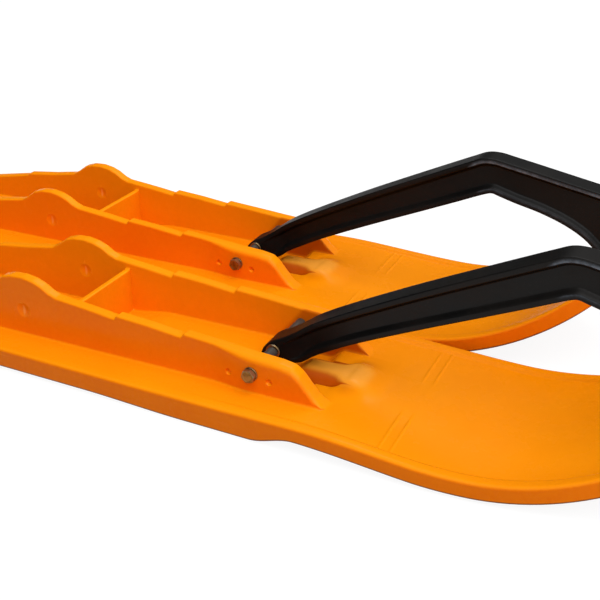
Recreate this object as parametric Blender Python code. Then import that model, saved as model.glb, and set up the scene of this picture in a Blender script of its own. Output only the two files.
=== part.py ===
"""A pair of moulded plastic snowmobile skis with black loop handles, lying side by side.

Units are metres. Each ski is drawn in its own frame: X runs forward to the tip from the axis
of the spindle holes, Y runs to the left, and Z is up from the flat deck. The pair stands on
Z = 0 with the middle of its box at X = Y = 0. The right ski is in front, the left one is set
back.
"""

import math

import bmesh
import bpy
from mathutils import Matrix, Vector

# Ski outline, along X from the spindle holes
REAR_X = -0.505
TIP_X = 0.570
WAIST_HALF_WIDTH = 0.0735
WAIST_END_X = -0.060
SHOVEL_HALF_WIDTH = 0.0830
SHOVEL_X = 0.345
FLARE_POWER = 1.05
TIP_FULLNESS = 0.55
REAR_CORNER = 0.050
BLUNT_END = 0.006
SKI_STAGGER = 0.102
PAIR_GAP = 0.0025

# Deck: a flat length, a belly, then an arc and a straight run up to the tip
BELLY_DEPTH = 0.0064
BELLY_START_X = 0.255
BELLY_END_X = 0.372
TIP_ARC_X = 0.378
TIP_ARC_RADIUS = 0.205
TIP_ANGLE = math.radians(42)
REAR_RISE = 0.006
REAR_RISE_LENGTH = 0.070

# Shell section
SLAB_THICKNESS = 0.0114
STAND_DEPTH = 0.0194
SKIRT_DEPTH = 0.0174
RAIL_WIDTH = 0.013
RAIL_DROP_XS = (0.075, 0.165)
RAIL_END_X = 0.222
RAIL_RUN_OUT = 0.036
KEEL_HALF_WIDTH = 0.014
KEEL_DEPTH = 0.0048
KEEL_REAR_X = -0.430
KEEL_FRONT_X = 0.262
KEEL_RUN_OUT = 0.045
EDGE_RADIUS = 0.0028
EDGE_BEVEL = 0.3
RIM_HEIGHT = 0.0022
RIM_WIDTH = 0.0075
RIM_START_X = 0.120
RIM_FULL_X = 0.345
RIM_FADE_X = 0.505
RIM_END_X = 0.530
# At the narrow ends each line of the section keeps within a share of the half-width, measured
# from the middle for the channel and the keel, and from the side for the rim and the rail
CHANNEL_SHARES = (0.08, 0.14, 0.18, 0.24, 0.30)
SIDE_SHARES = (0.45, 0.35, 0.20, 0.08, 0.0, 0.0, 0.08, 0.50, 0.60)
KEEL_SHARES = (0.30, 0.20)
# Shares of a stretch at which sections are drawn
REAR_CORNER_STEPS = (0.06, 0.22, 0.5, 1.0)
RAIL_DROP_STEPS = (0.0, 0.33, 0.66, 1.0)
MOUND_STEPS = (0.0, 0.33, 0.66, 1.0)
TIP_ARC_STEPS = 9
TIP_STEPS = (0.35, 0.65, 0.85, 0.95, 1.0)

# Channel between the ribs, its mound under the handle, and the two ridges across the shovel
FLOOR_DEPTH = 0.0020
SADDLE_DEPTH = 0.0068
SADDLE_HALF_LENGTH = 0.050
SADDLE_RAMP = 0.040
CHANNEL_REAR_X = -0.238
CHANNEL_END_RAMP = 0.006
POCKET_DEPTH = 0.0080
POCKET_START_X = 0.200
POCKET_FULL_X = 0.222
# Outline of the channel's front end as (distance along X, half-width)
POCKET_FRONT = ((0.250, 0.0399), (0.254, 0.0325), (0.259, 0.0262), (0.266, 0.0205), (0.273, 0.0155))
MOUND_HEIGHT = 0.0060
MOUND_HALF_WIDTH = 0.0175
MOUND_FRONT_HALF_WIDTH = 0.0115
MOUND_FOOT = 0.0034
MOUND_CROWN = 0.60
MOUND_CROWN_RISE = 0.96
MOUND_SIDE_RISE = 0.78
MOUND_START_X = 0.224
MOUND_TOP_X = 0.248
MOUND_FADE_X = 0.258
MOUND_END_X = 0.302
RIDGE_XS = (0.318, 0.3265)
RIDGE_HEIGHT = 0.0009
RIDGE_HALF_WIDTH = 0.0014

# Ribs
RIB_SPACING = 0.083
RIB_THICKNESS = 0.0096
RIB_ROUNDING = 0.0022
RIB_ROOT_DEPTH = 0.0088
RIB_PAD_WIDTH = 0.0034
RIB_PAD_START_X = 0.196
RIB_PAD_RAMP = 0.009
RIB_PAD_HEIGHT = 0.0250
RIB_LEAST_SHOULDER = 0.2
RIB_LARGEST_ROUNDING = 0.3
RIB_BEVEL = 0.3
STEP_RUN = 0.002
# Rib top as (distance along X, height above the deck); each pair one STEP_RUN apart is a notch
RIB_TOP = (
    (-0.246, -0.0025),
    (-0.234, 0.0060),
    (-0.190, 0.0130),
    (-0.145, 0.0195),
    (-0.097, 0.0280),
    (-0.095, 0.0300),
    (-0.062, 0.0340),
    (-0.034, 0.0385),
    (-0.027, 0.0425),
    (-0.018, 0.0490),
    (-0.009, 0.0515),
    (0.002, 0.0520),
    (0.012, 0.0502),
    (0.020, 0.0470),
    (0.027, 0.0425),
    (0.034, 0.0398),
    (0.050, 0.0382),
    (0.070, 0.0360),
    (0.0895, 0.0334),
    (0.0915, 0.0366),
    (0.120, 0.0345),
    (0.1495, 0.0312),
    (0.1515, 0.0343),
    (0.180, 0.0322),
    (0.210, 0.0295),
    (0.232, 0.0280),
    (0.242, 0.0262),
    (0.248, 0.0215),
    (0.254, 0.0140),
    (0.261, 0.0060),
    (0.272, -0.0025),
)
CROSS_RIB_X = 0.0454
CROSS_RIB_THICKNESS = 0.0050
CROSS_RIB_TOP = 0.0323
CROSS_RIB_SUNK = 0.0010

# Blind round marks for the spindle bolt, and the holes and dimples at the loop's bolt
SPINDLE_MARK_DIAMETER = 0.0127
SPINDLE_MARK_FLOOR = 0.0092
SPINDLE_MARK_DEPTH = 0.0024
SPINDLE_MARK_HEIGHT = 0.0220
LOOP_BOLT_X = 0.2101
LOOP_BOLT_HEIGHT = 0.0164
DIMPLE_XS = (0.190, 0.2245)
DIMPLE_HEIGHT = 0.0124
DIMPLE_DIAMETER = 0.0052
DIMPLE_FLOOR = 0.0034
DIMPLE_DEPTH = 0.0024

# Loop handle
LOOP_WIDTH = 0.0208
LOOP_FLANGE = 0.0042
LOOP_RECESS = 0.0042
LOOP_EDGE = 0.0010
LOOP_TOE_WIDTH = 0.0260
LOOP_TOE_EDGE = 0.0044
LOOP_TOE_REACH = 0.0120
LOOP_TOE_RISE = 0.0068
LOOP_TOE_DROP = 0.0090
LOOP_TOE_ANGLE = math.radians(30)
LOOP_TOE_TURNS = (20, 45, 70, 90)
LOOP_SOLID_ENDS = 2
LOOP_FLANGE_LIMIT = 0.3
LOOP_EDGE_LIMIT = 0.26
LOOP_FLANGE_OVER_EDGE = 1.2
# Matching points of the handle's upper and lower edge: (upper x, upper z, lower x, lower z)
LOOP_ARMS = (
    (0.2150, 0.0268, 0.2225, 0.0074),
    (0.2262, 0.0340, 0.2320, 0.0099),
    (0.2370, 0.0420, 0.2430, 0.0180),
    (0.2490, 0.0494, 0.2560, 0.0254),
    (0.2640, 0.0576, 0.2720, 0.0340),
    (0.2860, 0.0691, 0.2970, 0.0459),
    (0.3200, 0.0862, 0.3320, 0.0617),
    (0.3550, 0.1030, 0.3660, 0.0766),
    (0.3880, 0.1186, 0.3990, 0.0912),
    (0.4080, 0.1279, 0.4160, 0.0989),
    (0.4190, 0.1326, 0.4235, 0.1021),
    (0.4300, 0.1333, 0.4290, 0.1036),
    (0.4430, 0.1310, 0.4350, 0.1020),
    (0.4580, 0.1282, 0.4490, 0.0980),
    (0.4780, 0.1243, 0.4700, 0.0928),
    (0.5000, 0.1200, 0.4900, 0.0856),
    (0.5180, 0.1165, 0.5060, 0.0768),
    (0.5330, 0.1133, 0.5180, 0.0665),
)
# The handle's front foot: upper edge points, each over a point of the deck
LOOP_FOOT = (
    (0.5450, 0.1096, 0.5290),
    (0.5540, 0.1045, 0.5400),
    (0.5600, 0.0980, 0.5500),
)
FOOT_PAD_X = 0.5405
FOOT_PAD_LENGTH = 0.028
FOOT_PAD_WIDTH = 0.050
FOOT_PAD_THICKNESS = 0.0060

# Fasteners
CLEARANCE = 0.0003
LOOP_BOLT_DIAMETER = 0.0060
TIP_BOLT_DIAMETER = 0.0060
STUD_DIAMETER = 0.0060
THREAD_PROUD = 0.0020
WASHER_THICKNESS = 0.0014
WASHER_RATIO = 1.9
HEX_RATIO = 1.6
HEAD_RATIO = 0.66
NUT_RATIO = 0.85
HEX_CHAMFER = 0.98
DOME_RADIUS_RATIO = 0.85
DOME_RISE_RATIO = 0.42
DOME_STEPS = (25, 50, 75)
BOLT_END_RATIO = 0.8
SPACER_DIAMETER = 0.0086

# Sides of the round shapes, and the turn between two faces that is drawn as an edge
ROUND_SIDES = 20
HOLE_SIDES = 16
MARK_SIDES = 24
DIMPLE_SIDES = 12
BAR_ARC_STEPS = 6
EDGE_ANGLE = math.radians(38)
HEX_EDGE_ANGLE = math.radians(25)

# Wear bar under the keel
BAR_DIAMETER = 0.0080
BAR_REAR_X = -0.270
BAR_FRONT_X = 0.150
BAR_NOSE = 0.010
BAR_NOSE_SHARE = 0.5
STUD_XS = (-0.215, -0.105, 0.100)

# Values that follow from the sizes above
INNER_FACE_Y = (RIB_SPACING - RIB_THICKNESS) / 2
OUTER_FACE_Y = (RIB_SPACING + RIB_THICKNESS) / 2
PAD_FACE_Y = OUTER_FACE_Y + RIB_PAD_WIDTH
ARC_END_X = TIP_ARC_X + TIP_ARC_RADIUS * math.sin(TIP_ANGLE)
ARC_END_Z = TIP_ARC_RADIUS * (1 - math.cos(TIP_ANGLE)) - BELLY_DEPTH
BAR_AXIS_Z = BAR_DIAMETER / 2 - STAND_DEPTH


def ramp(x, start, end):
    """0 before start, 1 after end, and a smooth step between them."""
    t = min(max((x - start) / (end - start), 0.0), 1.0)
    return t * t * (3 - 2 * t)


def half_width(x):
    """Half the ski's width at x."""
    if x > SHOVEL_X:
        reach = (x - SHOVEL_X) / (TIP_X - SHOVEL_X)
        return SHOVEL_HALF_WIDTH * max(1 - reach * reach, 0.0) ** TIP_FULLNESS
    along = max(x - WAIST_END_X, 0.0) / (SHOVEL_X - WAIST_END_X)
    width = WAIST_HALF_WIDTH + (SHOVEL_HALF_WIDTH - WAIST_HALF_WIDTH) * along**FLARE_POWER
    into_corner = REAR_X + REAR_CORNER - x
    if into_corner > 0:
        turn = min(into_corner / REAR_CORNER, 1.0)
        width -= REAR_CORNER * (1 - math.sqrt(1 - turn * turn))
    return width


def deck_height(x):
    """Height of the deck's surface line at x."""
    if x > ARC_END_X:
        return ARC_END_Z + (x - ARC_END_X) * math.tan(TIP_ANGLE)
    if x > TIP_ARC_X:
        run = x - TIP_ARC_X
        return TIP_ARC_RADIUS - math.sqrt(TIP_ARC_RADIUS**2 - run * run) - BELLY_DEPTH
    rise = REAR_RISE * (1 - ramp(x, REAR_X, REAR_X + REAR_RISE_LENGTH))
    return rise - BELLY_DEPTH * ramp(x, BELLY_START_X, BELLY_END_X)


def deck_angle(x):
    """Slope of the deck at x, as an angle."""
    if x > ARC_END_X:
        return TIP_ANGLE
    if x > TIP_ARC_X:
        return math.asin((x - TIP_ARC_X) / TIP_ARC_RADIUS)
    return 0.0


def above_deck(x, y, height):
    """The point at this height over the deck's surface line, measured square to it."""
    angle = deck_angle(x)
    return Vector((x - height * math.sin(angle), y, deck_height(x) + height * math.cos(angle)))


def pitch_between_skis():
    """Least distance between centre lines that keeps the staggered outlines apart."""
    steps = 120
    length = TIP_X - REAR_X
    xs = [REAR_X + length * i / steps for i in range(steps + 1)]
    widest = 0.0
    for x in xs:
        beside = min(x + SKI_STAGGER, TIP_X)
        widest = max(widest, half_width(x) + half_width(beside))
    return widest + PAIR_GAP


def floor_height(x):
    """Height of the channel's floor over the deck line."""
    inside = ramp(x, CHANNEL_REAR_X - CHANNEL_END_RAMP, CHANNEL_REAR_X)
    front = POCKET_FRONT[-1][0]
    inside *= 1 - ramp(x, front, front + STEP_RUN)
    saddle = 1 - ramp(abs(x), SADDLE_HALF_LENGTH, SADDLE_HALF_LENGTH + SADDLE_RAMP)
    pocket = ramp(x, POCKET_START_X, POCKET_FULL_X)
    depth = FLOOR_DEPTH + (SADDLE_DEPTH - FLOOR_DEPTH) * saddle
    return -inside * (depth + (POCKET_DEPTH - FLOOR_DEPTH) * pocket)


def channel_half_width(x):
    """Half the width of the channel's floor, which narrows at its front end."""
    before = POCKET_FRONT[0]
    for point in POCKET_FRONT[1:]:
        if x <= point[0]:
            share = max((x - before[0]) / (point[0] - before[0]), 0.0)
            return before[1] + (point[1] - before[1]) * share
        before = point
    return before[1]


def mound_half_width(x):
    """Half the width of the mound's top."""
    narrow = ramp(x, MOUND_TOP_X, POCKET_FRONT[-1][0])
    return MOUND_HALF_WIDTH + (MOUND_FRONT_HALF_WIDTH - MOUND_HALF_WIDTH) * narrow


def middle_height(x):
    """Height of the shell's top on the centre line, over the deck line."""
    climb = ramp(x, MOUND_START_X, MOUND_TOP_X)
    mound = MOUND_HEIGHT * (1 - ramp(x, MOUND_FADE_X, MOUND_END_X))
    return floor_height(x) * (1 - climb) + mound * climb + ridge_height(x)


def ridge_height(x):
    """Height of the two small ridges across the shovel."""
    nearest = min(abs(x - ridge) for ridge in RIDGE_XS)
    return RIDGE_HEIGHT * max(1 - nearest / RIDGE_HALF_WIDTH, 0.0)


def skirt_depth(x):
    """Depth of the side rails under the deck: deepest ahead, where they end in a short run-out."""
    extra = SKIRT_DEPTH - SLAB_THICKNESS
    extra += (STAND_DEPTH - SKIRT_DEPTH) * ramp(x, *RAIL_DROP_XS)
    front = 1 - ramp(x, RAIL_END_X, RAIL_END_X + RAIL_RUN_OUT)
    rear = ramp(x, REAR_X, REAR_X + REAR_RISE_LENGTH)
    return SLAB_THICKNESS + extra * front * rear


def keel_depth(x):
    """Depth of the keel under the slab."""
    front = 1 - ramp(x, KEEL_FRONT_X, KEEL_FRONT_X + KEEL_RUN_OUT)
    return KEEL_DEPTH * front * ramp(x, KEEL_REAR_X - KEEL_RUN_OUT, KEEL_REAR_X)


def shell_section(x):
    """Half of the ski's closed section at x, as (y, height) from the top middle round to the keel."""
    width = half_width(x)
    ridge = ridge_height(x)
    floor = floor_height(x) + ridge
    mound = middle_height(x) - floor
    mound_side = mound_half_width(x)
    channel = channel_half_width(x)
    rim = RIM_HEIGHT * ramp(x, RIM_START_X, RIM_FULL_X) * (1 - ramp(x, RIM_FADE_X, RIM_END_X))
    bevel = EDGE_BEVEL * EDGE_RADIUS
    skirt = skirt_depth(x)
    keel = keel_depth(x)
    channel_lines = (
        (MOUND_CROWN * mound_side, floor + MOUND_CROWN_RISE * mound),
        (mound_side, floor + MOUND_SIDE_RISE * mound),
        (mound_side + MOUND_FOOT, floor),
        (channel, floor),
        (channel + MOUND_FOOT, ridge),
    )
    side_lines = (
        (RIM_WIDTH + 2 * RIM_HEIGHT, ridge),
        (RIM_WIDTH, rim),
        (EDGE_RADIUS, rim),
        (bevel, rim - bevel),
        (0, rim - EDGE_RADIUS),
        (0, EDGE_RADIUS / 2 - skirt),
        (EDGE_RADIUS / 2, -skirt),
        (RAIL_WIDTH, -skirt),
        (RAIL_WIDTH + (skirt - SLAB_THICKNESS) / 3, -SLAB_THICKNESS),
    )
    keel_lines = (
        (KEEL_HALF_WIDTH + keel, -SLAB_THICKNESS),
        (KEEL_HALF_WIDTH, -SLAB_THICKNESS - keel),
    )
    section = [(min(y, width * share), z) for (y, z), share in zip(channel_lines, CHANNEL_SHARES)]
    section += [(width - min(y, width * share), z) for (y, z), share in zip(side_lines, SIDE_SHARES)]
    section += [(min(y, width * share), z) for (y, z), share in zip(keel_lines, KEEL_SHARES)]
    return section


def stretch(start, end, steps):
    """Places along X at these shares of the way from start to end."""
    return [start + (end - start) * share for share in steps]


def shell_stations():
    """Places along X where the ski's section is drawn, closer together where it changes."""
    rear = [REAR_X] + stretch(REAR_X, REAR_X + REAR_CORNER, REAR_CORNER_STEPS)
    rear += [REAR_X + REAR_RISE_LENGTH, KEEL_REAR_X - KEEL_RUN_OUT / 2]
    channel_rear = [CHANNEL_REAR_X - CHANNEL_END_RAMP, CHANNEL_REAR_X]
    saddle = SADDLE_HALF_LENGTH + SADDLE_RAMP
    middle = [-saddle, -SADDLE_HALF_LENGTH, SADDLE_HALF_LENGTH, saddle, POCKET_START_X, POCKET_FULL_X]
    rails = stretch(*RAIL_DROP_XS, RAIL_DROP_STEPS) + [RAIL_END_X]
    mound = stretch(MOUND_START_X, MOUND_TOP_X, MOUND_STEPS)
    front = [x for x, _ in POCKET_FRONT] + [POCKET_FRONT[-1][0] + STEP_RUN, BELLY_START_X, MOUND_END_X]
    ridges = []
    for ridge in RIDGE_XS:
        ridges += [ridge - RIDGE_HALF_WIDTH, ridge, ridge + RIDGE_HALF_WIDTH]
    arc = stretch(TIP_ARC_X, ARC_END_X, [i / TIP_ARC_STEPS for i in range(TIP_ARC_STEPS + 1)])
    # The tip's last station is where the outline has narrowed to the blunt end
    blunt = (BLUNT_END / SHOVEL_HALF_WIDTH) ** (1 / TIP_FULLNESS)
    last = SHOVEL_X + (TIP_X - SHOVEL_X) * math.sqrt(1 - blunt)
    tip = stretch(ARC_END_X, last, TIP_STEPS)
    belly = [SHOVEL_X, (SHOVEL_X + TIP_ARC_X) / 2]
    stations = rear + channel_rear + middle + rails + mound + front + ridges + belly + arc + tip
    return sorted(set(stations))


def loft(rings):
    """A closed mesh through rings with equal numbers of points, its two ends capped."""
    shape = bmesh.new()
    loops = [[shape.verts.new(point) for point in ring] for ring in rings]
    count = len(loops[0])
    for before, after in zip(loops, loops[1:]):
        for i in range(count):
            j = (i + 1) % count
            shape.faces.new((before[i], before[j], after[j], after[i]))
    shape.faces.new(loops[0])
    shape.faces.new(list(reversed(loops[-1])))
    bmesh.ops.recalc_face_normals(shape, faces=shape.faces)
    return shape


def shell_shape():
    """The ski without its ribs."""
    rings = []
    for x in shell_stations():
        half = shell_section(x)
        top = above_deck(x, 0, middle_height(x))
        bottom = above_deck(x, 0, -SLAB_THICKNESS - keel_depth(x))
        left = [above_deck(x, y, height) for y, height in half]
        right = [above_deck(x, -y, height) for y, height in reversed(half)]
        rings.append([top] + left + [bottom] + right)
    return loft(rings)


def rib_shape(side):
    """One rib: its section is drawn at each point of RIB_TOP. Side is 1 for +Y and -1 for -Y."""
    half = RIB_THICKNESS / 2
    rings = []
    for x, top in RIB_TOP:
        pad = RIB_PAD_WIDTH * ramp(x, RIB_PAD_START_X, RIB_PAD_START_X + RIB_PAD_RAMP)
        root = -RIB_ROOT_DEPTH
        shoulder = min(RIB_PAD_HEIGHT, top - 2 * RIB_ROUNDING)
        shoulder = max(shoulder, root + RIB_LEAST_SHOULDER * (top - root))
        soft = min(RIB_ROUNDING, RIB_LARGEST_ROUNDING * (top - root))
        bevel = RIB_BEVEL * soft
        section = (
            (-half, root),
            (half + pad, root),
            (half + pad, shoulder),
            (half, top - soft),
            (half - bevel, top - bevel),
            (half - soft, top),
            (soft - half, top),
            (bevel - half, top - bevel),
            (-half, top - soft),
        )
        ring = [Vector((x, side * (RIB_SPACING / 2 + y), z)) for y, z in section]
        rings.append(ring)
    return loft(rings)


def box_shape(low, high):
    """A box between two corners."""
    shape = bmesh.new()
    size = Vector(high) - Vector(low)
    middle = (Vector(high) + Vector(low)) / 2
    bmesh.ops.create_cube(shape, size=1.0)
    bmesh.ops.scale(shape, vec=size, verts=shape.verts)
    bmesh.ops.translate(shape, vec=middle, verts=shape.verts)
    return shape


def turned_shape(profile, sides=ROUND_SIDES):
    """A solid turned about Z from (radius, z) points; a profile off the axis is closed into a ring."""
    shape = bmesh.new()
    rows = []
    for radius, z in profile:
        if radius == 0:
            rows.append([shape.verts.new((0, 0, z))])
            continue
        row = []
        for i in range(sides):
            angle = 2 * math.pi * i / sides
            row.append(shape.verts.new((radius * math.cos(angle), radius * math.sin(angle), z)))
        rows.append(row)
    pairs = list(zip(rows, rows[1:]))
    if profile[0][0] > 0:
        pairs.append((rows[-1], rows[0]))
    for before, after in pairs:
        for i in range(sides):
            j = (i + 1) % sides
            lower = [before[i % len(before)], before[j % len(before)]]
            upper = [after[j % len(after)], after[i % len(after)]]
            shape.faces.new(list(dict.fromkeys(lower + upper)))
    bmesh.ops.recalc_face_normals(shape, faces=shape.faces)
    return shape


def merged(shapes):
    """One mesh holding several separate solids."""
    whole = bmesh.new()
    for shape in shapes:
        part = bpy.data.meshes.new("piece")
        shape.to_mesh(part)
        shape.free()
        whole.from_mesh(part)
        bpy.data.meshes.remove(part)
    return whole


def moved(shape, matrix):
    """The shape after a move."""
    bmesh.ops.transform(shape, matrix=matrix, verts=shape.verts)
    return shape


def along_y(shape, side=1):
    """Turns a shape made about Z so that its top points along +Y, or along -Y with side -1."""
    return moved(shape, Matrix.Rotation(math.radians(-90 * side), 4, "X"))


def placed(shape, point):
    """Moves a shape to a point."""
    return moved(shape, Matrix.Translation(Vector(point)))


def on_tip(shape, x, y, height):
    """Stands a shape made about Z square on the deck at x, y, this high over it."""
    turn = Matrix.Rotation(-deck_angle(x), 4, "Y")
    return moved(shape, Matrix.Translation(above_deck(x, y, height)) @ turn)


def rod(radius, start, end, sides=ROUND_SIDES):
    """A plain cylinder about Z."""
    return turned_shape([(0, start), (radius, start), (radius, end), (0, end)], sides)


def recess(mouth, floor, depth, sides):
    """A cutter for a blind round recess in a face at Z = 0, with a sloping wall."""
    wider = mouth + (mouth - floor)
    return turned_shape([(0, -depth), (floor, -depth), (wider, depth), (0, depth)], sides)


def spindle_mark():
    """A cutter for one of the round marks where the spindle bolt goes."""
    return recess(SPINDLE_MARK_DIAMETER / 2, SPINDLE_MARK_FLOOR / 2, SPINDLE_MARK_DEPTH, MARK_SIDES)


def mesh_of(shape, name):
    """A mesh datablock from the shape, round faces shaded smooth and edges kept sharp."""
    mesh = bpy.data.meshes.new(name)
    shape.to_mesh(mesh)
    shape.free()
    mesh.shade_smooth()
    mesh.set_sharp_from_angle(angle=EDGE_ANGLE)
    return mesh


def helper(shape, name):
    """An object that only joins or cuts another one."""
    obj = bpy.data.objects.new(name, mesh_of(shape, name))
    bpy.context.scene.collection.objects.link(obj)
    obj.hide_render = True
    obj.display_type = "WIRE"
    return obj


def joined_and_cut(shape, additions, cutters, name):
    """The mesh left after adding and cutting with Boolean modifiers."""
    base = helper(shape, name + "_base")
    tools = []
    for operation, shapes in (("UNION", additions), ("DIFFERENCE", cutters)):
        for i, other in enumerate(shapes):
            tool = helper(other, f"{name}_{operation.lower()}_{i}")
            tools.append(tool)
            modifier = base.modifiers.new(tool.name, "BOOLEAN")
            modifier.operation = operation
            modifier.object = tool
    graph = bpy.context.evaluated_depsgraph_get()
    mesh = bpy.data.meshes.new_from_object(base.evaluated_get(graph))
    mesh.name = name
    mesh.shade_smooth()
    mesh.set_sharp_from_angle(angle=EDGE_ANGLE)
    for obj in tools + [base]:
        old = obj.data
        bpy.data.objects.remove(obj)
        bpy.data.meshes.remove(old)
    return mesh


def ski_body_mesh():
    """The moulded ski: shell, two ribs and a cross rib, with its holes and the wear bar's groove."""
    cross_rib = box_shape(
        (CROSS_RIB_X - CROSS_RIB_THICKNESS / 2, -RIB_SPACING / 2, floor_height(CROSS_RIB_X) - CROSS_RIB_SUNK),
        (CROSS_RIB_X + CROSS_RIB_THICKNESS / 2, RIB_SPACING / 2, CROSS_RIB_TOP),
    )
    past = 2 * PAD_FACE_Y
    loop_bolt = along_y(rod(LOOP_BOLT_DIAMETER / 2 + CLEARANCE, -past, past))
    cuts = [placed(loop_bolt, (LOOP_BOLT_X, 0, LOOP_BOLT_HEIGHT))]
    for side in (-1, 1):
        for face, outward in ((INNER_FACE_Y, -side), (OUTER_FACE_Y, side)):
            mark = spindle_mark()
            cuts.append(placed(along_y(mark, outward), (0, side * face, SPINDLE_MARK_HEIGHT)))
        for x in DIMPLE_XS:
            pad = RIB_PAD_WIDTH * ramp(x, RIB_PAD_START_X, RIB_PAD_START_X + RIB_PAD_RAMP)
            dimple = recess(DIMPLE_DIAMETER / 2, DIMPLE_FLOOR / 2, DIMPLE_DEPTH, DIMPLE_SIDES)
            cuts.append(placed(along_y(dimple, side), (x, side * (OUTER_FACE_Y + pad), DIMPLE_HEIGHT)))
    stud_hole = STUD_DIAMETER / 2 + CLEARANCE
    for x in STUD_XS:
        cuts.append(placed(rod(stud_hole, BAR_AXIS_Z, SLAB_THICKNESS, HOLE_SIDES), (x, 0, 0)))
    for y in tip_bolt_ys():
        hole = rod(TIP_BOLT_DIAMETER / 2 + CLEARANCE, -2 * SLAB_THICKNESS, SLAB_THICKNESS, HOLE_SIDES)
        cuts.append(on_tip(hole, FOOT_PAD_X, y, 0))
    groove = bar_outline(CLEARANCE)
    return joined_and_cut(
        shell_shape(),
        [rib_shape(1), rib_shape(-1), cross_rib],
        [merged(cuts), groove],
        "ski_body",
    )


def tip_bolt_ys():
    """The two tip bolts stand on the foot pad, each side of the handle."""
    washer = TIP_BOLT_DIAMETER * WASHER_RATIO / 2
    offset = LOOP_WIDTH / 2 + washer + CLEARANCE
    return (-offset, offset)


def bar_outline(grow):
    """The wear bar's shape along X; larger by grow and open downwards where it cuts the keel."""
    radius = BAR_DIAMETER / 2 + grow
    rings = []
    for x, share in (
        (BAR_REAR_X - grow, BAR_NOSE_SHARE),
        (BAR_REAR_X + BAR_NOSE, 1.0),
        (BAR_FRONT_X - BAR_NOSE, 1.0),
        (BAR_FRONT_X + grow, BAR_NOSE_SHARE),
    ):
        reach = radius * share
        steps = BAR_ARC_STEPS + 1 if grow else 2 * BAR_ARC_STEPS
        ring = []
        for i in range(steps):
            angle = math.pi * i / BAR_ARC_STEPS
            ring.append(Vector((x, reach * math.cos(angle), BAR_AXIS_Z + reach * math.sin(angle))))
        if grow:
            deep = BAR_AXIS_Z - BAR_DIAMETER
            ring.append(Vector((x, -reach, deep)))
            ring.append(Vector((x, reach, deep)))
        rings.append(ring)
    return loft(rings)


def wear_bar_mesh():
    """The round steel bar in the keel, with its three threaded studs."""
    stack = WASHER_THICKNESS + 2 * CLEARANCE + STUD_DIAMETER * NUT_RATIO + THREAD_PROUD
    studs = []
    for x in STUD_XS:
        stud = rod(STUD_DIAMETER / 2, BAR_AXIS_Z, floor_height(x) + stack, HOLE_SIDES)
        studs.append(placed(stud, (x, 0, 0)))
    return joined_and_cut(bar_outline(0), studs, [], "wear_bar")


def loop_edges():
    """The handle's upper and lower edge as matching point lists, from the toe to the front foot."""
    uppers = []
    lowers = []
    along = Vector((math.cos(LOOP_TOE_ANGLE), math.sin(LOOP_TOE_ANGLE)))
    across = Vector((-along.y, along.x))
    eye = Vector((LOOP_BOLT_X, LOOP_BOLT_HEIGHT))
    for degrees in LOOP_TOE_TURNS:
        turn = math.radians(degrees)
        back = eye - along * LOOP_TOE_REACH * math.cos(turn)
        uppers.append(back + across * LOOP_TOE_RISE * math.sin(turn))
        lowers.append(back - across * LOOP_TOE_DROP * math.sin(turn))
    for upper_x, upper_z, lower_x, lower_z in LOOP_ARMS:
        uppers.append(Vector((upper_x, upper_z)))
        lowers.append(Vector((lower_x, lower_z)))
    for upper_x, upper_z, deck_x in LOOP_FOOT:
        seat = above_deck(deck_x, 0, CLEARANCE)
        uppers.append(Vector((upper_x, upper_z)))
        lowers.append(Vector((seat.x, seat.z)))
    return uppers, lowers


def loop_section(upper, lower, hollow, width, edge):
    """The handle's I-shaped section between two edge points."""
    half = width / 2
    depth = (upper - lower).length
    down = (lower - upper) / depth
    flange = min(LOOP_FLANGE, LOOP_FLANGE_LIMIT * depth)
    edge = min(edge, LOOP_EDGE_LIMIT * depth)
    flange = max(flange, LOOP_FLANGE_OVER_EDGE * edge)
    web = flange + hollow / 2
    side = (
        (half - edge, 0),
        (half, edge),
        (half, flange),
        (half - hollow, web),
        (half - hollow, depth - web),
        (half, depth - flange),
        (half, depth - edge),
        (half - edge, depth),
    )
    ring = []
    for y, distance in side:
        point = upper + down * distance
        ring.append(Vector((point.x, y, point.y)))
    for y, distance in reversed(side):
        point = upper + down * distance
        ring.append(Vector((point.x, -y, point.y)))
    return ring


def loop_handle_mesh():
    """The bent handle: I-shaped arms, a round eye on the cross bolt and a foot with a pad on the tip."""
    uppers, lowers = loop_edges()
    toe_points = len(LOOP_TOE_TURNS)
    rings = []
    last = len(uppers) - 1
    for i, (upper, lower) in enumerate(zip(uppers, lowers)):
        from_end = min(i - toe_points, last - 1 - i) / LOOP_SOLID_ENDS
        share = min(max(from_end, 0.0), 1.0)
        widen = min(max(i - toe_points, 0) / LOOP_SOLID_ENDS, 1.0)
        width = LOOP_TOE_WIDTH + (LOOP_WIDTH - LOOP_TOE_WIDTH) * widen
        edge = LOOP_TOE_EDGE + (LOOP_EDGE - LOOP_TOE_EDGE) * widen
        rings.append(loop_section(upper, lower, LOOP_RECESS * share, width, edge))
    pad = box_shape(
        (-FOOT_PAD_LENGTH / 2, -FOOT_PAD_WIDTH / 2, 0),
        (FOOT_PAD_LENGTH / 2, FOOT_PAD_WIDTH / 2, FOOT_PAD_THICKNESS),
    )
    holes = []
    for y in tip_bolt_ys():
        hole = rod(TIP_BOLT_DIAMETER / 2 + CLEARANCE, -SLAB_THICKNESS, SLAB_THICKNESS, HOLE_SIDES)
        holes.append(on_tip(hole, FOOT_PAD_X, y, 0))
    eye = along_y(rod(LOOP_BOLT_DIAMETER / 2 + CLEARANCE, -LOOP_WIDTH, LOOP_WIDTH, HOLE_SIDES))
    holes.append(placed(eye, (LOOP_BOLT_X, 0, LOOP_BOLT_HEIGHT)))
    return joined_and_cut(
        loft(rings),
        [on_tip(pad, FOOT_PAD_X, 0, CLEARANCE)],
        [merged(holes)],
        "loop_handle",
    )


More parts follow.
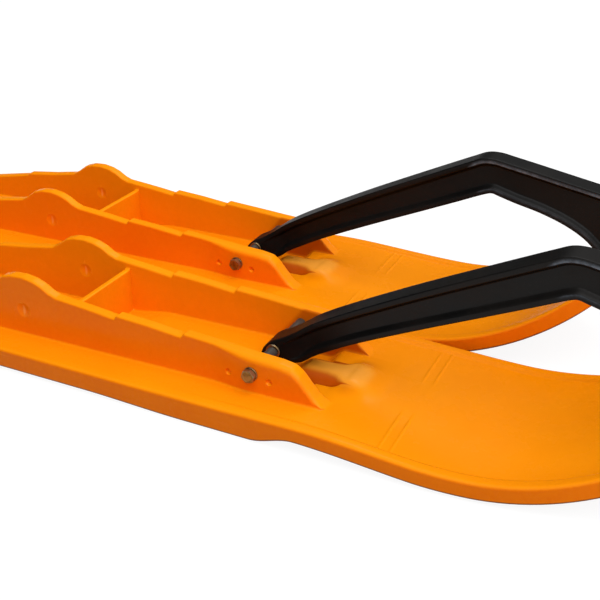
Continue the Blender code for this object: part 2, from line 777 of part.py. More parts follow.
def washer_mesh(diameter):
    """A flat washer about Z, from 0 up."""
    inner = diameter / 2 + CLEARANCE
    outer = diameter * WASHER_RATIO / 2
    profile = [(inner, 0), (outer, 0), (outer, WASHER_THICKNESS), (inner, WASHER_THICKNESS)]
    return mesh_of(turned_shape(profile), "washer")


def hex_shape(across_flats, start, end):
    """A hexagonal prism about Z with its corners turned down at both ends."""
    corner = across_flats / 2 / math.cos(math.radians(30))
    flat = across_flats / 2 * HEX_CHAMFER
    chamfer = corner - flat
    prism = turned_shape([(0, start), (corner, start), (corner, end), (0, end)], 6)
    mesh = bpy.data.meshes.new("hexagon")
    prism.to_mesh(mesh)
    prism.free()
    cone = turned_shape([
        (0, start),
        (flat, start),
        (corner + chamfer, start + chamfer),
        (corner + chamfer, end - chamfer),
        (flat, end),
        (0, end),
    ], MARK_SIDES)
    return mesh, cone


def hexagon(across_flats, start, end, name, bore=0.0, shank=None):
    """A bolt head or a nut, with an optional bore or a shank of (radius, start, end)."""
    prism, cone = hex_shape(across_flats, start, end)
    shape = bmesh.new()
    shape.from_mesh(prism)
    bpy.data.meshes.remove(prism)
    base = helper(shape, name + "_prism")
    tools = [(helper(cone, name + "_cone"), "INTERSECT")]
    if bore:
        hole = rod(bore, start - bore, end + bore, HOLE_SIDES)
        tools.append((helper(hole, name + "_bore"), "DIFFERENCE"))
    if shank:
        pin = rod(*shank, HOLE_SIDES)
        tools.append((helper(pin, name + "_shank"), "UNION"))
    for tool, operation in tools:
        modifier = base.modifiers.new(tool.name, "BOOLEAN")
        modifier.operation = operation
        modifier.object = tool
    graph = bpy.context.evaluated_depsgraph_get()
    mesh = bpy.data.meshes.new_from_object(base.evaluated_get(graph))
    mesh.name = name
    mesh.shade_smooth()
    mesh.set_sharp_from_angle(angle=HEX_EDGE_ANGLE)
    for obj in [base] + [tool for tool, _ in tools]:
        old = obj.data
        bpy.data.objects.remove(obj)
        bpy.data.meshes.remove(old)
    return mesh


def nut_mesh(diameter):
    """A hexagonal nut about Z, from 0 up."""
    return hexagon(diameter * HEX_RATIO, 0, diameter * NUT_RATIO, "nut", bore=diameter / 2 + CLEARANCE)


def bolt_mesh(diameter, length):
    """A hexagonal bolt about Z: its head stands below 0 and its shank runs up to length."""
    head = diameter * HEAD_RATIO
    return hexagon(diameter * HEX_RATIO, -head, 0, "bolt", shank=(diameter / 2, -head / 2, length))


def round_bolt_mesh(diameter, length):
    """A bolt with a low domed head below 0, and a shank up to length."""
    head = diameter * DOME_RADIUS_RATIO
    rise = diameter * DOME_RISE_RATIO
    radius = diameter / 2
    profile = [(0, -rise)]
    for degrees in DOME_STEPS:
        turn = math.radians(degrees)
        profile.append((head * math.sin(turn), -rise * math.cos(turn)))
    end = radius * BOLT_END_RATIO
    profile += [(head, 0), (radius, 0), (radius, length + end - radius), (end, length), (0, length)]
    return mesh_of(turned_shape(profile, HOLE_SIDES), "round_bolt")


def spacer_mesh(length):
    """A plain sleeve about Z, from 0 up, that the cross bolt runs through."""
    inner = LOOP_BOLT_DIAMETER / 2 + CLEARANCE
    outer = SPACER_DIAMETER / 2
    return mesh_of(turned_shape([(inner, 0), (outer, 0), (outer, length), (inner, length)]), "spacer")


def material(name, colour, roughness, metallic):
    """A Principled material."""
    made = bpy.data.materials.new(name)
    made.use_nodes = True
    shader = made.node_tree.nodes["Principled BSDF"]
    shader.inputs["Base Color"].default_value = (*colour, 1.0)
    shader.inputs["Roughness"].default_value = roughness
    shader.inputs["Metallic"].default_value = metallic
    return made


def place(mesh, name, parent, finish, matrix):
    """An object with this mesh and material, placed under its ski's empty."""
    obj = bpy.data.objects.new(name, mesh)
    bpy.context.scene.collection.objects.link(obj)
    obj.parent = parent
    obj.matrix_local = matrix
    if not mesh.materials:
        mesh.materials.append(finish)
    return obj


def clear_scene():
    """Removes what the file starts with."""
    for obj in list(bpy.data.objects):
        bpy.data.objects.remove(obj)


def build_meshes():
    """Every mesh of one ski, by name; both skis share them."""
    bolt_length = 2 * PAD_FACE_Y + 2 * WASHER_THICKNESS + 4 * CLEARANCE
    bolt_length += LOOP_BOLT_DIAMETER * NUT_RATIO + THREAD_PROUD
    tip_stack = SLAB_THICKNESS + 2 * CLEARANCE + FOOT_PAD_THICKNESS + WASHER_THICKNESS + 2 * CLEARANCE
    tip_length = tip_stack + TIP_BOLT_DIAMETER * NUT_RATIO + THREAD_PROUD
    return {
        "ski_body": ski_body_mesh(),
        "loop_handle": loop_handle_mesh(),
        "wear_bar": wear_bar_mesh(),
        "loop_bolt": bolt_mesh(LOOP_BOLT_DIAMETER, bolt_length),
        "loop_washer": washer_mesh(LOOP_BOLT_DIAMETER),
        "loop_nut": nut_mesh(LOOP_BOLT_DIAMETER),
        "loop_spacer": spacer_mesh(INNER_FACE_Y - LOOP_TOE_WIDTH / 2 - WASHER_THICKNESS - 3 * CLEARANCE),
        "tip_bolt": round_bolt_mesh(TIP_BOLT_DIAMETER, tip_length),
        "tip_washer": washer_mesh(TIP_BOLT_DIAMETER),
        "tip_nut": nut_mesh(TIP_BOLT_DIAMETER),
        "stud_washer": washer_mesh(STUD_DIAMETER),
        "stud_nut": nut_mesh(STUD_DIAMETER),
    }


def finishes():
    """The materials, by the name of the mesh that they belong to."""
    orange = material("orange_plastic", (0.92, 0.26, 0.006), 0.42, 0.0)
    black = material("black_plastic", (0.012, 0.012, 0.012), 0.45, 0.0)
    zinc = material("zinc_plated_steel", (0.45, 0.42, 0.33), 0.35, 1.0)
    steel = material("bar_steel", (0.38, 0.38, 0.38), 0.38, 1.0)
    found = {"ski_body": orange, "loop_handle": black, "wear_bar": steel}
    for name in ("loop_bolt", "loop_washer", "loop_nut", "loop_spacer"):
        found[name] = zinc
    for name in ("tip_bolt", "tip_washer", "tip_nut", "stud_washer", "stud_nut"):
        found[name] = zinc
    return found


def add_ski(side, origin, meshes, looks):
    """One ski with its handle, wear bar and fasteners, all under one empty."""
    base = bpy.data.objects.new(side + "_ski", None)
    bpy.context.scene.collection.objects.link(base)
    base.location = origin
    bpy.context.view_layer.update()

    def put(mesh, name, matrix):
        place(meshes[mesh], f"{side}_{name}", base, looks[mesh], matrix)

    upright = Matrix.Identity(4)
    for name in ("ski_body", "loop_handle", "wear_bar"):
        put(name, name, upright)

    to_y = Matrix.Rotation(math.radians(-90), 4, "X")

    def on_bolt(y):
        return Matrix.Translation((LOOP_BOLT_X, y, LOOP_BOLT_HEIGHT)) @ to_y

    seat = PAD_FACE_Y + CLEARANCE
    past_washer = seat + WASHER_THICKNESS + CLEARANCE
    put("loop_bolt", "loop_bolt", on_bolt(-past_washer))
    put("loop_washer", "loop_washer_head_side", on_bolt(-seat - WASHER_THICKNESS))
    put("loop_washer", "loop_washer_nut_side", on_bolt(seat))
    put("loop_nut", "loop_nut", on_bolt(past_washer))
    put("loop_spacer", "loop_spacer_right", on_bolt(CLEARANCE - INNER_FACE_Y))
    beside_toe = LOOP_TOE_WIDTH / 2 + CLEARANCE
    put("loop_washer", "loop_washer_toe_right", on_bolt(-beside_toe - WASHER_THICKNESS))
    put("loop_washer", "loop_washer_toe_left", on_bolt(beside_toe))
    put("loop_spacer", "loop_spacer_left", on_bolt(beside_toe + WASHER_THICKNESS + CLEARANCE))

    lean = Matrix.Rotation(-deck_angle(FOOT_PAD_X), 4, "Y")
    pad_top = CLEARANCE + FOOT_PAD_THICKNESS
    for number, y in enumerate(tip_bolt_ys(), 1):
        stack = (
            ("tip_bolt", -SLAB_THICKNESS - CLEARANCE),
            ("tip_washer", pad_top + CLEARANCE),
            ("tip_nut", pad_top + 2 * CLEARANCE + WASHER_THICKNESS),
        )
        for name, height in stack:
            put(name, f"{name}_{number}", Matrix.Translation(above_deck(FOOT_PAD_X, y, height)) @ lean)

    for number, x in enumerate(STUD_XS, 1):
        floor = floor_height(x) + CLEARANCE
        put("stud_washer", f"stud_washer_{number}", Matrix.Translation((x, 0, floor)))
        nut = floor + WASHER_THICKNESS + CLEARANCE
        put("stud_nut", f"stud_nut_{number}", Matrix.Translation((x, 0, nut)))


def main():
    clear_scene()
    meshes = build_meshes()
    looks = finishes()
    pitch = pitch_between_skis()
    middle = (TIP_X + REAR_X - SKI_STAGGER) / 2
    add_ski("right", (-middle, -pitch / 2, STAND_DEPTH), meshes, looks)
    add_ski("left", (-middle - SKI_STAGGER, pitch / 2, STAND_DEPTH), meshes, looks)


main()
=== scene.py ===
"""Looks of a pair of orange plastic steering skis with black loop handles.

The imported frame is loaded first. Finer meshes with rounded edges stand in for its nodes, each in
the place of the node that it replaces, and every surface gets a procedural material.
"""

from math import asin, cos, inf, pi, radians, sin, sqrt, tan

import bmesh
import bpy
from mathutils import Matrix, Vector


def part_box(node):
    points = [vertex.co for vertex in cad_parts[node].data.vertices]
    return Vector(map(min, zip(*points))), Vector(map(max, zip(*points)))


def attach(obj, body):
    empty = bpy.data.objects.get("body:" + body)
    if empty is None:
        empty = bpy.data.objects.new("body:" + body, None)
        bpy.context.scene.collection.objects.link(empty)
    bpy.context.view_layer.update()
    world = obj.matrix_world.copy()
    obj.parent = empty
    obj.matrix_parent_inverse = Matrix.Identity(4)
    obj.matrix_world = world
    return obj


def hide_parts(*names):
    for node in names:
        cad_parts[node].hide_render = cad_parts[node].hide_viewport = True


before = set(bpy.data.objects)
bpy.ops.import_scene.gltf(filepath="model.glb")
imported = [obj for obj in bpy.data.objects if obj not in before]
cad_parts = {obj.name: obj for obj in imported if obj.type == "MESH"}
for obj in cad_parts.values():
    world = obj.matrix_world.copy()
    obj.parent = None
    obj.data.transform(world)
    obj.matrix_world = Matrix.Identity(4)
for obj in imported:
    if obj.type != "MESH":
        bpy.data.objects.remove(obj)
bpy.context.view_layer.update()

# Ski outline and deck, in the ski's own frame: X forward from the spindle axis, Z up from the deck
REAR_X = -0.505
TIP_X = 0.57
WAIST_HALF_WIDTH = 0.0735
WAIST_END_X = -0.06
SHOVEL_HALF_WIDTH = 0.083
SHOVEL_X = 0.345
FLARE_POWER = 1.05
TIP_FULLNESS = 0.55
REAR_CORNER = 0.05
BLUNT_END = 0.006
BELLY_DEPTH = 0.0064
BELLY_XS = (0.255, 0.372)
TIP_ARC_X = 0.378
TIP_ARC_RADIUS = 0.205
TIP_ANGLE = radians(42)
REAR_RISE = 0.006
REAR_RISE_LENGTH = 0.07

# Section
SLAB_THICKNESS = 0.0114
STAND_DEPTH = 0.0194
SKIRT_DEPTH = 0.0174
RAIL_WIDTH = 0.013
RAIL_DROP_XS = (0.075, 0.165)
RAIL_END_XS = (0.222, 0.258)
KEEL_HALF_WIDTH = 0.014
KEEL_DEPTH = 0.0048
KEEL_REAR_XS = (-0.475, -0.43)
KEEL_FRONT_XS = (0.262, 0.307)
EDGE_RADIUS = 0.0028
LOWER_EDGE_RADIUS = 0.0024
RIM_HEIGHT = 0.0022
RIM_WIDTH = 0.0075
RIM_RISE_XS = (0.12, 0.345)
RIM_FADE_XS = (0.505, 0.53)
RIM_LIP_SHARE = 0.6
NARROW = 0.066  # below this half width the section is squeezed
SMOOTH_SHARES = (0, 0.2, 0.4, 0.6, 0.8, 1)

# Channel, mound and ridges
FLOOR_DEPTH = 0.002
SADDLE_DEPTH = 0.0068
SADDLE_HALF_LENGTH = 0.05
SADDLE_RAMP = 0.04
CHANNEL_REAR_X = -0.238
CHANNEL_END_RAMP = 0.006
POCKET_DEPTH = 0.008
POCKET_START_X = 0.2
POCKET_FULL_X = 0.222
POCKET_RISE_X = 0.252
POCKET_END_X = 0.266
POCKET_RISE_POWER = 0.8
POCKET_CORNER_XS = (0.236, 0.249)
POCKET_CORNER_YS = (0.0135, 0.0185)
MOUND_HEIGHT = 0.006
MOUND_HALF_WIDTH = 0.0162
MOUND_SQUARENESS = 2.5
SWELL_XS = (0.258, 0.272, 0.302)
SWELL_YS = (0.008, 0.034)
MOUND_CLIMB_XS = (0.214, 0.236)
MOUND_FADE_X = 0.262
MOUND_END_X = 0.304
RIDGE_XS = (0.318, 0.3265)
RIDGE_HEIGHT = 0.0007
RIDGE_FULL_YS = (0.02, 0.036, 0.052, 0.074)
RIDGE_FAINT = 0.08
RIDGE_HALF_WIDTH = 0.0018
FLANK_STEPS = 14
FLOOR_SHARES = (0.04, 0.08, 0.12, 0.16, 0.35, 0.65, 0.97)

# Ribs
RIB_SPACING = 0.083
RIB_THICKNESS = 0.0096
RIB_ROUNDING = 0.0022
RIB_PAD_WIDTH = 0.0034
RIB_PAD_XS = (0.172, 0.208)
RIB_PAD_FALL = 0.9
ROOT_FILLET = 0.0022
FILLET_LIMIT = 0.45  # of the height that a fillet stands in
ROUNDING_LIMIT = 0.3
LEAST_ROUNDING = 0.0004
PAD_DROP_LIMIT = 0.9
LEAST_DROP = 0.00005
FACE_STEPS = 7
TOP_BLEND = 0.0009
TOP_SAMPLES = 7
RIB_TOP = (
    (-0.246, -0.0025), (-0.234, 0.006), (-0.19, 0.013), (-0.145, 0.0195), (-0.097, 0.028),
    (-0.095, 0.03), (-0.062, 0.034), (-0.034, 0.0385), (-0.027, 0.0425), (-0.018, 0.049),
    (-0.009, 0.0515), (0.002, 0.052), (0.012, 0.0502), (0.02, 0.047), (0.027, 0.0425),
    (0.034, 0.0398), (0.05, 0.0382), (0.07, 0.036), (0.0895, 0.0334), (0.0915, 0.0366),
    (0.12, 0.0345), (0.1495, 0.0312), (0.1515, 0.0343), (0.18, 0.0322), (0.21, 0.0295),
    (0.232, 0.028), (0.242, 0.0262), (0.248, 0.0215), (0.254, 0.014), (0.261, 0.006),
    (0.272, -0.0025),
)
CROSS_RIB_X = 0.0454
CROSS_RIB_THICKNESS = 0.005
CROSS_RIB_TOP = 0.0323
CROSS_RIB_ROUNDING = 0.0012

SPINDLE_MARK_RADIUS = 0.00635
SPINDLE_MARK_DEPTH = 0.0013
SPINDLE_MARK_HEIGHT = 0.022
LOOP_BOLT_X = 0.2101
LOOP_BOLT_HEIGHT = 0.0164
DIMPLE_XS = (0.19, 0.2245)
DIMPLE_HEIGHT = 0.0124
DIMPLE_RADIUS = 0.0026
DIMPLE_FLOOR_RADIUS = 0.0017
DIMPLE_DEPTH = 0.0024

# Places along X where the section is drawn
STATION_SPACING = 0.0065
LEAST_GAP = 0.0004
FRONT_STEPS = 60
ARC_STEPS = 22
REAR_SHARES = (0.004, 0.02, 0.05, 0.09, 0.15, 0.3, 0.5, 0.75)
RIDGE_SHARES = (-1, -0.66, -0.33, 0, 0.33, 0.66, 1)
TIP_SHARES = (0.2, 0.38, 0.54, 0.67, 0.78, 0.86, 0.92, 0.96, 0.985, 1)

# Loop handle
LOOP_WIDTH = 0.0208
LOOP_FLANGE = 0.0042
LOOP_RECESS = 0.0042
LOOP_EDGE = 0.001
LOOP_TOE_WIDTH = 0.026
LOOP_TOE_EDGE = 0.0044
LOOP_TOE_REACH = 0.012
LOOP_TOE_RISE = 0.0068
LOOP_TOE_DROP = 0.009
LOOP_TOE_ANGLE = radians(30)
LOOP_TOE_TURNS = (20, 45, 70, 90)
LOOP_SOLID_ENDS = 2
LOOP_FLANGE_LIMIT = 0.3
LOOP_EDGE_LIMIT = 0.26
LOOP_FLANGE_OVER_EDGE = 1.2
# Matching points of the handle's upper and lower edge: (upper x, upper z, lower x, lower z)
LOOP_ARMS = (
    (0.215, 0.0268, 0.2225, 0.0074), (0.2262, 0.034, 0.232, 0.0099),
    (0.237, 0.042, 0.243, 0.018), (0.249, 0.0494, 0.256, 0.0254),
    (0.264, 0.0576, 0.272, 0.034), (0.286, 0.0691, 0.297, 0.0459),
    (0.32, 0.0862, 0.332, 0.0617), (0.355, 0.103, 0.366, 0.0766),
    (0.388, 0.1186, 0.399, 0.0912), (0.408, 0.1279, 0.416, 0.0989),
    (0.419, 0.1326, 0.4235, 0.1021), (0.43, 0.1333, 0.429, 0.1036),
    (0.443, 0.131, 0.435, 0.102), (0.458, 0.1282, 0.449, 0.098),
    (0.478, 0.1243, 0.47, 0.0928), (0.5, 0.12, 0.49, 0.0856),
    (0.518, 0.1165, 0.506, 0.0768), (0.533, 0.1133, 0.518, 0.0665),
)
# The handle's front foot: upper edge points, each over a point of the deck
LOOP_FOOT = (
    (0.545, 0.1096, 0.529),
    (0.554, 0.1045, 0.54),
    (0.56, 0.098, 0.55),
)
LOOP_STEPS = 4  # rings for each pair of points
# Where a highlight is painted on the flanges' corners: a point's number in the section, and how much
EDGE_HIGHLIGHT_XS = (0.4, 0.414)
EDGE_HIGHLIGHT_PLACES = ((6, 0.3), (7, 0.9), (8, 0.7), (9, 0.25), (17, 0.25), (18, 0.5), (19, 0.2))

FOOT_PAD_X = 0.5405
FOOT_PAD_LENGTH = 0.028
FOOT_PAD_WIDTH = 0.05
FOOT_PAD_THICKNESS = 0.006
FOOT_PAD_ROUNDING = 0.0016

# Fasteners and wear bar
CLEARANCE = 0.0003
BOLT_DIAMETER = 0.006
THREAD_PROUD = 0.002
THREAD_PITCH = 0.001
THREAD_DEPTH = 0.00055
WASHER_THICKNESS = 0.0014
WASHER_RADIUS = 0.0057
HEX_WIDTH = 0.0096
HEAD_HEIGHT = 0.00396
NUT_HEIGHT = 0.0051
NUT_COLLAR = 0.0013
HEX_SIDES = 72
HEX_CHAMFER = 0.55
DOME_RADIUS = 0.0051
DOME_RISE = 0.00252
LOOP_THREAD = 0.016
TIP_THREAD = 0.012
STUD_THREAD = 0.011
NUT_REACH = NUT_HEIGHT + THREAD_PROUD  # from a nut's seat to its shank's end
BOLT_TURN = 17
TIP_NUT_TURN = 11
STUD_NUT_TURN = 23
SPACER_DIAMETER = 0.0086
BAR_DIAMETER = 0.008
BAR_REAR_X = -0.27
BAR_FRONT_X = 0.15
BAR_NOSE = 0.01
BAR_STEPS = 24
STUD_XS = (-0.215, -0.105, 0.1)

# Edges over these angles, in degrees, stay sharp
SHARP_ANGLE = 35
BODY_SHARP_ANGLE = 42
HANDLE_SHARP_ANGLE = 40
HEX_SHARP_ANGLE = 25

# Places on the moulding where highlight, sheen and shade are painted
HIGHLIGHT_STREAK_HALF_WIDTH = 0.0016
HIGHLIGHT_STREAK_HALF_HEIGHT = 0.0055
SHEEN_X = 0.262
SHEEN_HALF_LENGTH = 0.042
SHEEN_HALF_WIDTH = 0.023
SHEEN_HEIGHTS = (0.0015, 0.004)
SHADE_SLANT = 0.8
SHADE_START_XS = (0.186, 0.1915)

# Camera, as fitted to the photograph, and lamps: name, place, target, size and power
CAMERA_AZIMUTH = 24.874
CAMERA_ELEVATION = 24.02
CAMERA_ROLL = -0.245
CAMERA_PLACE = (0.5125, -0.5982, 0.3927)  # from the right ski's origin
CAMERA_LENS = 59.5547
CAMERA_SHIFT = (-0.017017, -0.081866)
LAMPS = (
    ("key", (1.3, -0.75, 2.3), (0.1, 0, 0), 2.7, 51),
    ("fill", (0.5, -2.6, 1.6), (0.1, 0, 0), 1.6, 9),
    ("rim", (0, 1.4, 2), (0.2, 0, 0), 0.6, 8),
)
BRIGHT_SIDE = (0.62, -0.1, 0.78)
FLOOR_HALF_SIZE = 9
FLOOR_DROP = 0.0004

INNER_FACE_Y = (RIB_SPACING - RIB_THICKNESS) / 2
OUTER_FACE_Y = (RIB_SPACING + RIB_THICKNESS) / 2
PAD_FACE_Y = OUTER_FACE_Y + RIB_PAD_WIDTH
ARC_END_X = TIP_ARC_X + TIP_ARC_RADIUS * sin(TIP_ANGLE)
ARC_END_Z = TIP_ARC_RADIUS * (1 - cos(TIP_ANGLE)) - BELLY_DEPTH
BAR_AXIS_Z = BAR_DIAMETER / 2 - STAND_DEPTH
BORE_RADIUS = BOLT_DIAMETER / 2 + CLEARANCE


def clamp(value, low=0, high=1):
    """The value held between two limits."""
    return min(max(value, low), high)


def smooth(t):
    """A smooth step, for t from 0 to 1."""
    return t * t * (3 - 2 * t)


def ramp(x, start, end):
    """0 before start, 1 after end, and a smooth step between them."""
    return smooth(clamp((x - start) / (end - start)))


def spread(start, end, steps):
    """Even steps from start to end, both included."""
    return [start + (end - start) * i / steps for i in range(steps + 1)]


def half_width(x):
    """Half the ski's width at x."""
    if x > SHOVEL_X:
        reach = (x - SHOVEL_X) / (TIP_X - SHOVEL_X)
        return SHOVEL_HALF_WIDTH * max(1 - reach * reach, 0) ** TIP_FULLNESS
    along = max(x - WAIST_END_X, 0) / (SHOVEL_X - WAIST_END_X)
    width = WAIST_HALF_WIDTH + (SHOVEL_HALF_WIDTH - WAIST_HALF_WIDTH) * along**FLARE_POWER
    turn = clamp((REAR_X + REAR_CORNER - x) / REAR_CORNER)
    return width - REAR_CORNER * (1 - sqrt(1 - turn * turn))


def deck_height(x):
    """Height of the deck's surface line at x."""
    if x > ARC_END_X:
        return ARC_END_Z + (x - ARC_END_X) * tan(TIP_ANGLE)
    if x > TIP_ARC_X:
        run = x - TIP_ARC_X
        return TIP_ARC_RADIUS - sqrt(TIP_ARC_RADIUS**2 - run * run) - BELLY_DEPTH
    rise = REAR_RISE * (1 - ramp(x, REAR_X, REAR_X + REAR_RISE_LENGTH))
    return rise - BELLY_DEPTH * ramp(x, *BELLY_XS)


def deck_angle(x):
    """Slope of the deck at x, as an angle."""
    return asin(clamp((x - TIP_ARC_X) / TIP_ARC_RADIUS, 0, sin(TIP_ANGLE)))


def above_deck(x, y, height):
    """The point at this height over the deck's surface line, measured square to it."""
    angle = deck_angle(x)
    return Vector((x - height * sin(angle), y, deck_height(x) + height * cos(angle)))


def floor_height(x):
    """Height of the channel's floor over the deck line."""
    inside = ramp(x, CHANNEL_REAR_X - CHANNEL_END_RAMP, CHANNEL_REAR_X)
    inside *= clamp((POCKET_END_X - x) / (POCKET_END_X - POCKET_RISE_X)) ** POCKET_RISE_POWER
    saddle = 1 - ramp(abs(x), SADDLE_HALF_LENGTH, SADDLE_HALF_LENGTH + SADDLE_RAMP)
    pocket = ramp(x, POCKET_START_X, POCKET_FULL_X)
    depth = FLOOR_DEPTH + (SADDLE_DEPTH - FLOOR_DEPTH) * saddle
    return -inside * (depth + (POCKET_DEPTH - FLOOR_DEPTH) * pocket)


def floor_beside_rib(x):
    """Height of the channel's floor at the ribs' feet, where the pocket's front corners are filled."""
    return floor_height(x) * (1 - ramp(x, *POCKET_CORNER_XS)) + ridge_height(x)


def along_line(x, points):
    """Height at x along a line of (x, height) points."""
    before = points[0]
    for point in points[1:]:
        if x <= point[0]:
            share = clamp((x - before[0]) / (point[0] - before[0]))
            return before[1] + (point[1] - before[1]) * share
        before = point
    return before[1]


def mound_height(x):
    """Height of the mound on the centre line, over the channel's floor."""
    climb = ramp(x, *MOUND_CLIMB_XS)
    fade = 1 - ramp(x, MOUND_FADE_X, MOUND_END_X)
    return climb * (MOUND_HEIGHT * fade - floor_height(x))


def swell_height(x, y):
    """Height of the swelling that the deck rises to round the mound's front."""
    start, full, end = SWELL_XS
    along = ramp(x, start, full) * (1 - ramp(x, full, end))
    return MOUND_HEIGHT * along * (1 - ramp(y, *SWELL_YS))


def ridge_height(x):
    """Height of the two small ridges across the shovel."""
    nearest = min(abs(x - ridge) for ridge in RIDGE_XS)
    if nearest > RIDGE_HALF_WIDTH:
        return 0
    return RIDGE_HEIGHT * (1 + cos(pi * nearest / RIDGE_HALF_WIDTH)) / 2


def ridge_share(y):
    """How much of the ridges' height stands at y; they fade on the middle and towards the edges."""
    start, full, full_end, end = RIDGE_FULL_YS
    return RIDGE_FAINT + (1 - RIDGE_FAINT) * ramp(y, start, full) * (1 - ramp(y, full_end, end))


def skirt_depth(x):
    """Depth of the side rails under the deck."""
    extra = SKIRT_DEPTH - SLAB_THICKNESS
    extra += (STAND_DEPTH - SKIRT_DEPTH) * ramp(x, *RAIL_DROP_XS)
    front = 1 - ramp(x, *RAIL_END_XS)
    rear = ramp(x, REAR_X, REAR_X + REAR_RISE_LENGTH)
    return SLAB_THICKNESS + extra * front * rear


def keel_depth(x):
    """Depth of the keel under the slab."""
    return KEEL_DEPTH * (1 - ramp(x, *KEEL_FRONT_XS)) * ramp(x, *KEEL_REAR_XS)


def rib_top(x):
    """Height of the ribs' top, its corners slightly rounded."""
    places = spread(x - TOP_BLEND, x + TOP_BLEND, TOP_SAMPLES - 1)
    return sum(along_line(place, RIB_TOP) for place in places) / TOP_SAMPLES


def pad_width(x):
    """How far the pad on a rib's outer face stands out at x."""
    return RIB_PAD_WIDTH * ramp(x, *RIB_PAD_XS)


def arc(middle, radius, start, end, steps):
    """Points on an arc round middle, from one angle in degrees to another."""
    angles = [radians(degrees) for degrees in spread(start, end, steps)]
    return [(middle[0] + radius * cos(angle), middle[1] + radius * sin(angle)) for angle in angles]


def channel_points(x, lowest, reach):
    """The channel's floor and mound at x, from the middle out to reach, nowhere under lowest."""
    floor = floor_height(x) + ridge_height(x)
    beside = floor_beside_rib(x)
    mound = mound_height(x)
    half = MOUND_HALF_WIDTH
    across = [half * sin(pi / 2 * step / FLANK_STEPS) for step in range(FLANK_STEPS + 1)]
    across += [half + (reach - half) * share for share in FLOOR_SHARES]
    points = []
    for y in across:
        ground = floor + (beside - floor) * ramp(y, *POCKET_CORNER_YS) + swell_height(x, y)
        rise = max(floor + mound - ground, 0)
        height = ground + rise * max(1 - (y / half) ** MOUND_SQUARENESS, 0) ** 0.5
        points.append((y, max(height, lowest)))
    return points


def rib_points(x, top, filled, root):
    """A rib's outline at x, from its foot in the channel over its top to its foot on the deck."""
    ridge = ridge_height(x)
    outer_root = min(ROOT_FILLET, FILLET_LIMIT * max(top - ridge, 0))
    soft = ROUNDING_LIMIT * max(top - filled, 0) + LEAST_ROUNDING
    soft = min(RIB_ROUNDING, FILLET_LIMIT * max(top - ridge, 0), soft)
    pad = pad_width(x) * clamp((top - ridge) / RIB_ROUNDING)
    points = arc((INNER_FACE_Y - root, filled + root), root, -90, 0, 4)
    points += [(INNER_FACE_Y, height) for height in spread(filled + root, top - soft, FACE_STEPS)[1:-1]]
    points += arc((INNER_FACE_Y + soft, top - soft), soft, 180, 90, 4)
    drop = min(soft + RIB_PAD_FALL * pad, max(PAD_DROP_LIMIT * (top - ridge - outer_root), LEAST_DROP))
    for across, down in arc((0, 0), 1, 90, 0, 7):
        points.append((OUTER_FACE_Y - soft + (soft + pad) * across, top - drop + drop * down))
    face = OUTER_FACE_Y + pad
    points += [(face, height) for height in spread(top - drop, ridge + outer_root, FACE_STEPS)[1:-1]]
    return points + arc((face + outer_root, ridge + outer_root), outer_root, 180, 270, 4)


def edge_points(x, width, squeeze):
    """The deck's rim, the side rail and the keel at x, from the deck round to the bottom middle."""
    points = []
    ridge = ridge_height(x)
    rim = RIM_HEIGHT * ramp(x, *RIM_RISE_XS) * (1 - ramp(x, *RIM_FADE_XS))
    run_in = 2 * RIM_HEIGHT
    for share in SMOOTH_SHARES:
        y = width - (RIM_WIDTH + run_in * (1 - share)) * squeeze
        low = ridge * ridge_share(y)
        points.append((y, low + (rim - low) * smooth(share)))
    points.append((width - RIM_LIP_SHARE * RIM_WIDTH * squeeze, rim))
    edge = EDGE_RADIUS * squeeze
    points += arc((width - edge, rim - edge), edge, 90, 0, 5)
    skirt = skirt_depth(x)
    under = LOWER_EDGE_RADIUS * squeeze
    points += arc((width - under, under - skirt), under, 0, -90, 5)
    rail_foot = RAIL_WIDTH + (skirt - SLAB_THICKNESS) / 3
    rail_side = 0.7 * RAIL_WIDTH + 0.3 * rail_foot
    points.append((width - RAIL_WIDTH * squeeze, -skirt))
    points.append((width - rail_side * squeeze, -0.9 * skirt - 0.1 * SLAB_THICKNESS))
    points.append((width - rail_foot * squeeze, -SLAB_THICKNESS))
    keel = keel_depth(x)
    for out, down in ((1, 0), (0.2, 0.85), (-0.3, 1)):
        points.append(((KEEL_HALF_WIDTH + keel * out) * squeeze, -SLAB_THICKNESS - keel * down))
    points.append((0, -SLAB_THICKNESS - keel))
    return points


def body_section(x, cross):
    """Half of the moulding's closed section at x, from the top middle to the bottom middle.

    Cross is the height that the cross rib fills the channel to, or None."""
    width = half_width(x)
    squeeze = min(1, width / NARROW)
    ridge = ridge_height(x)
    lowest = -inf if cross is None else cross
    filled = max(floor_beside_rib(x), lowest)
    top = max(rib_top(x), ridge)
    root = min(ROOT_FILLET, FILLET_LIMIT * max(top - filled, 0))
    points = channel_points(x, lowest, INNER_FACE_Y - root) + rib_points(x, top, filled, root)
    points = [(y * squeeze, height - ridge * (1 - ridge_share(y))) for y, height in points]
    return points + edge_points(x, width, squeeze)


def whole(half):
    """Half a section and its mirror image, all the way round."""
    return half + [(-y, other) for y, other in reversed(half[1:-1])]


def both_ends(end, length):
    """A profile's end from 0 up, and the same end turned round at this length."""
    return end + [(across, length - along) for across, along in reversed(end)]


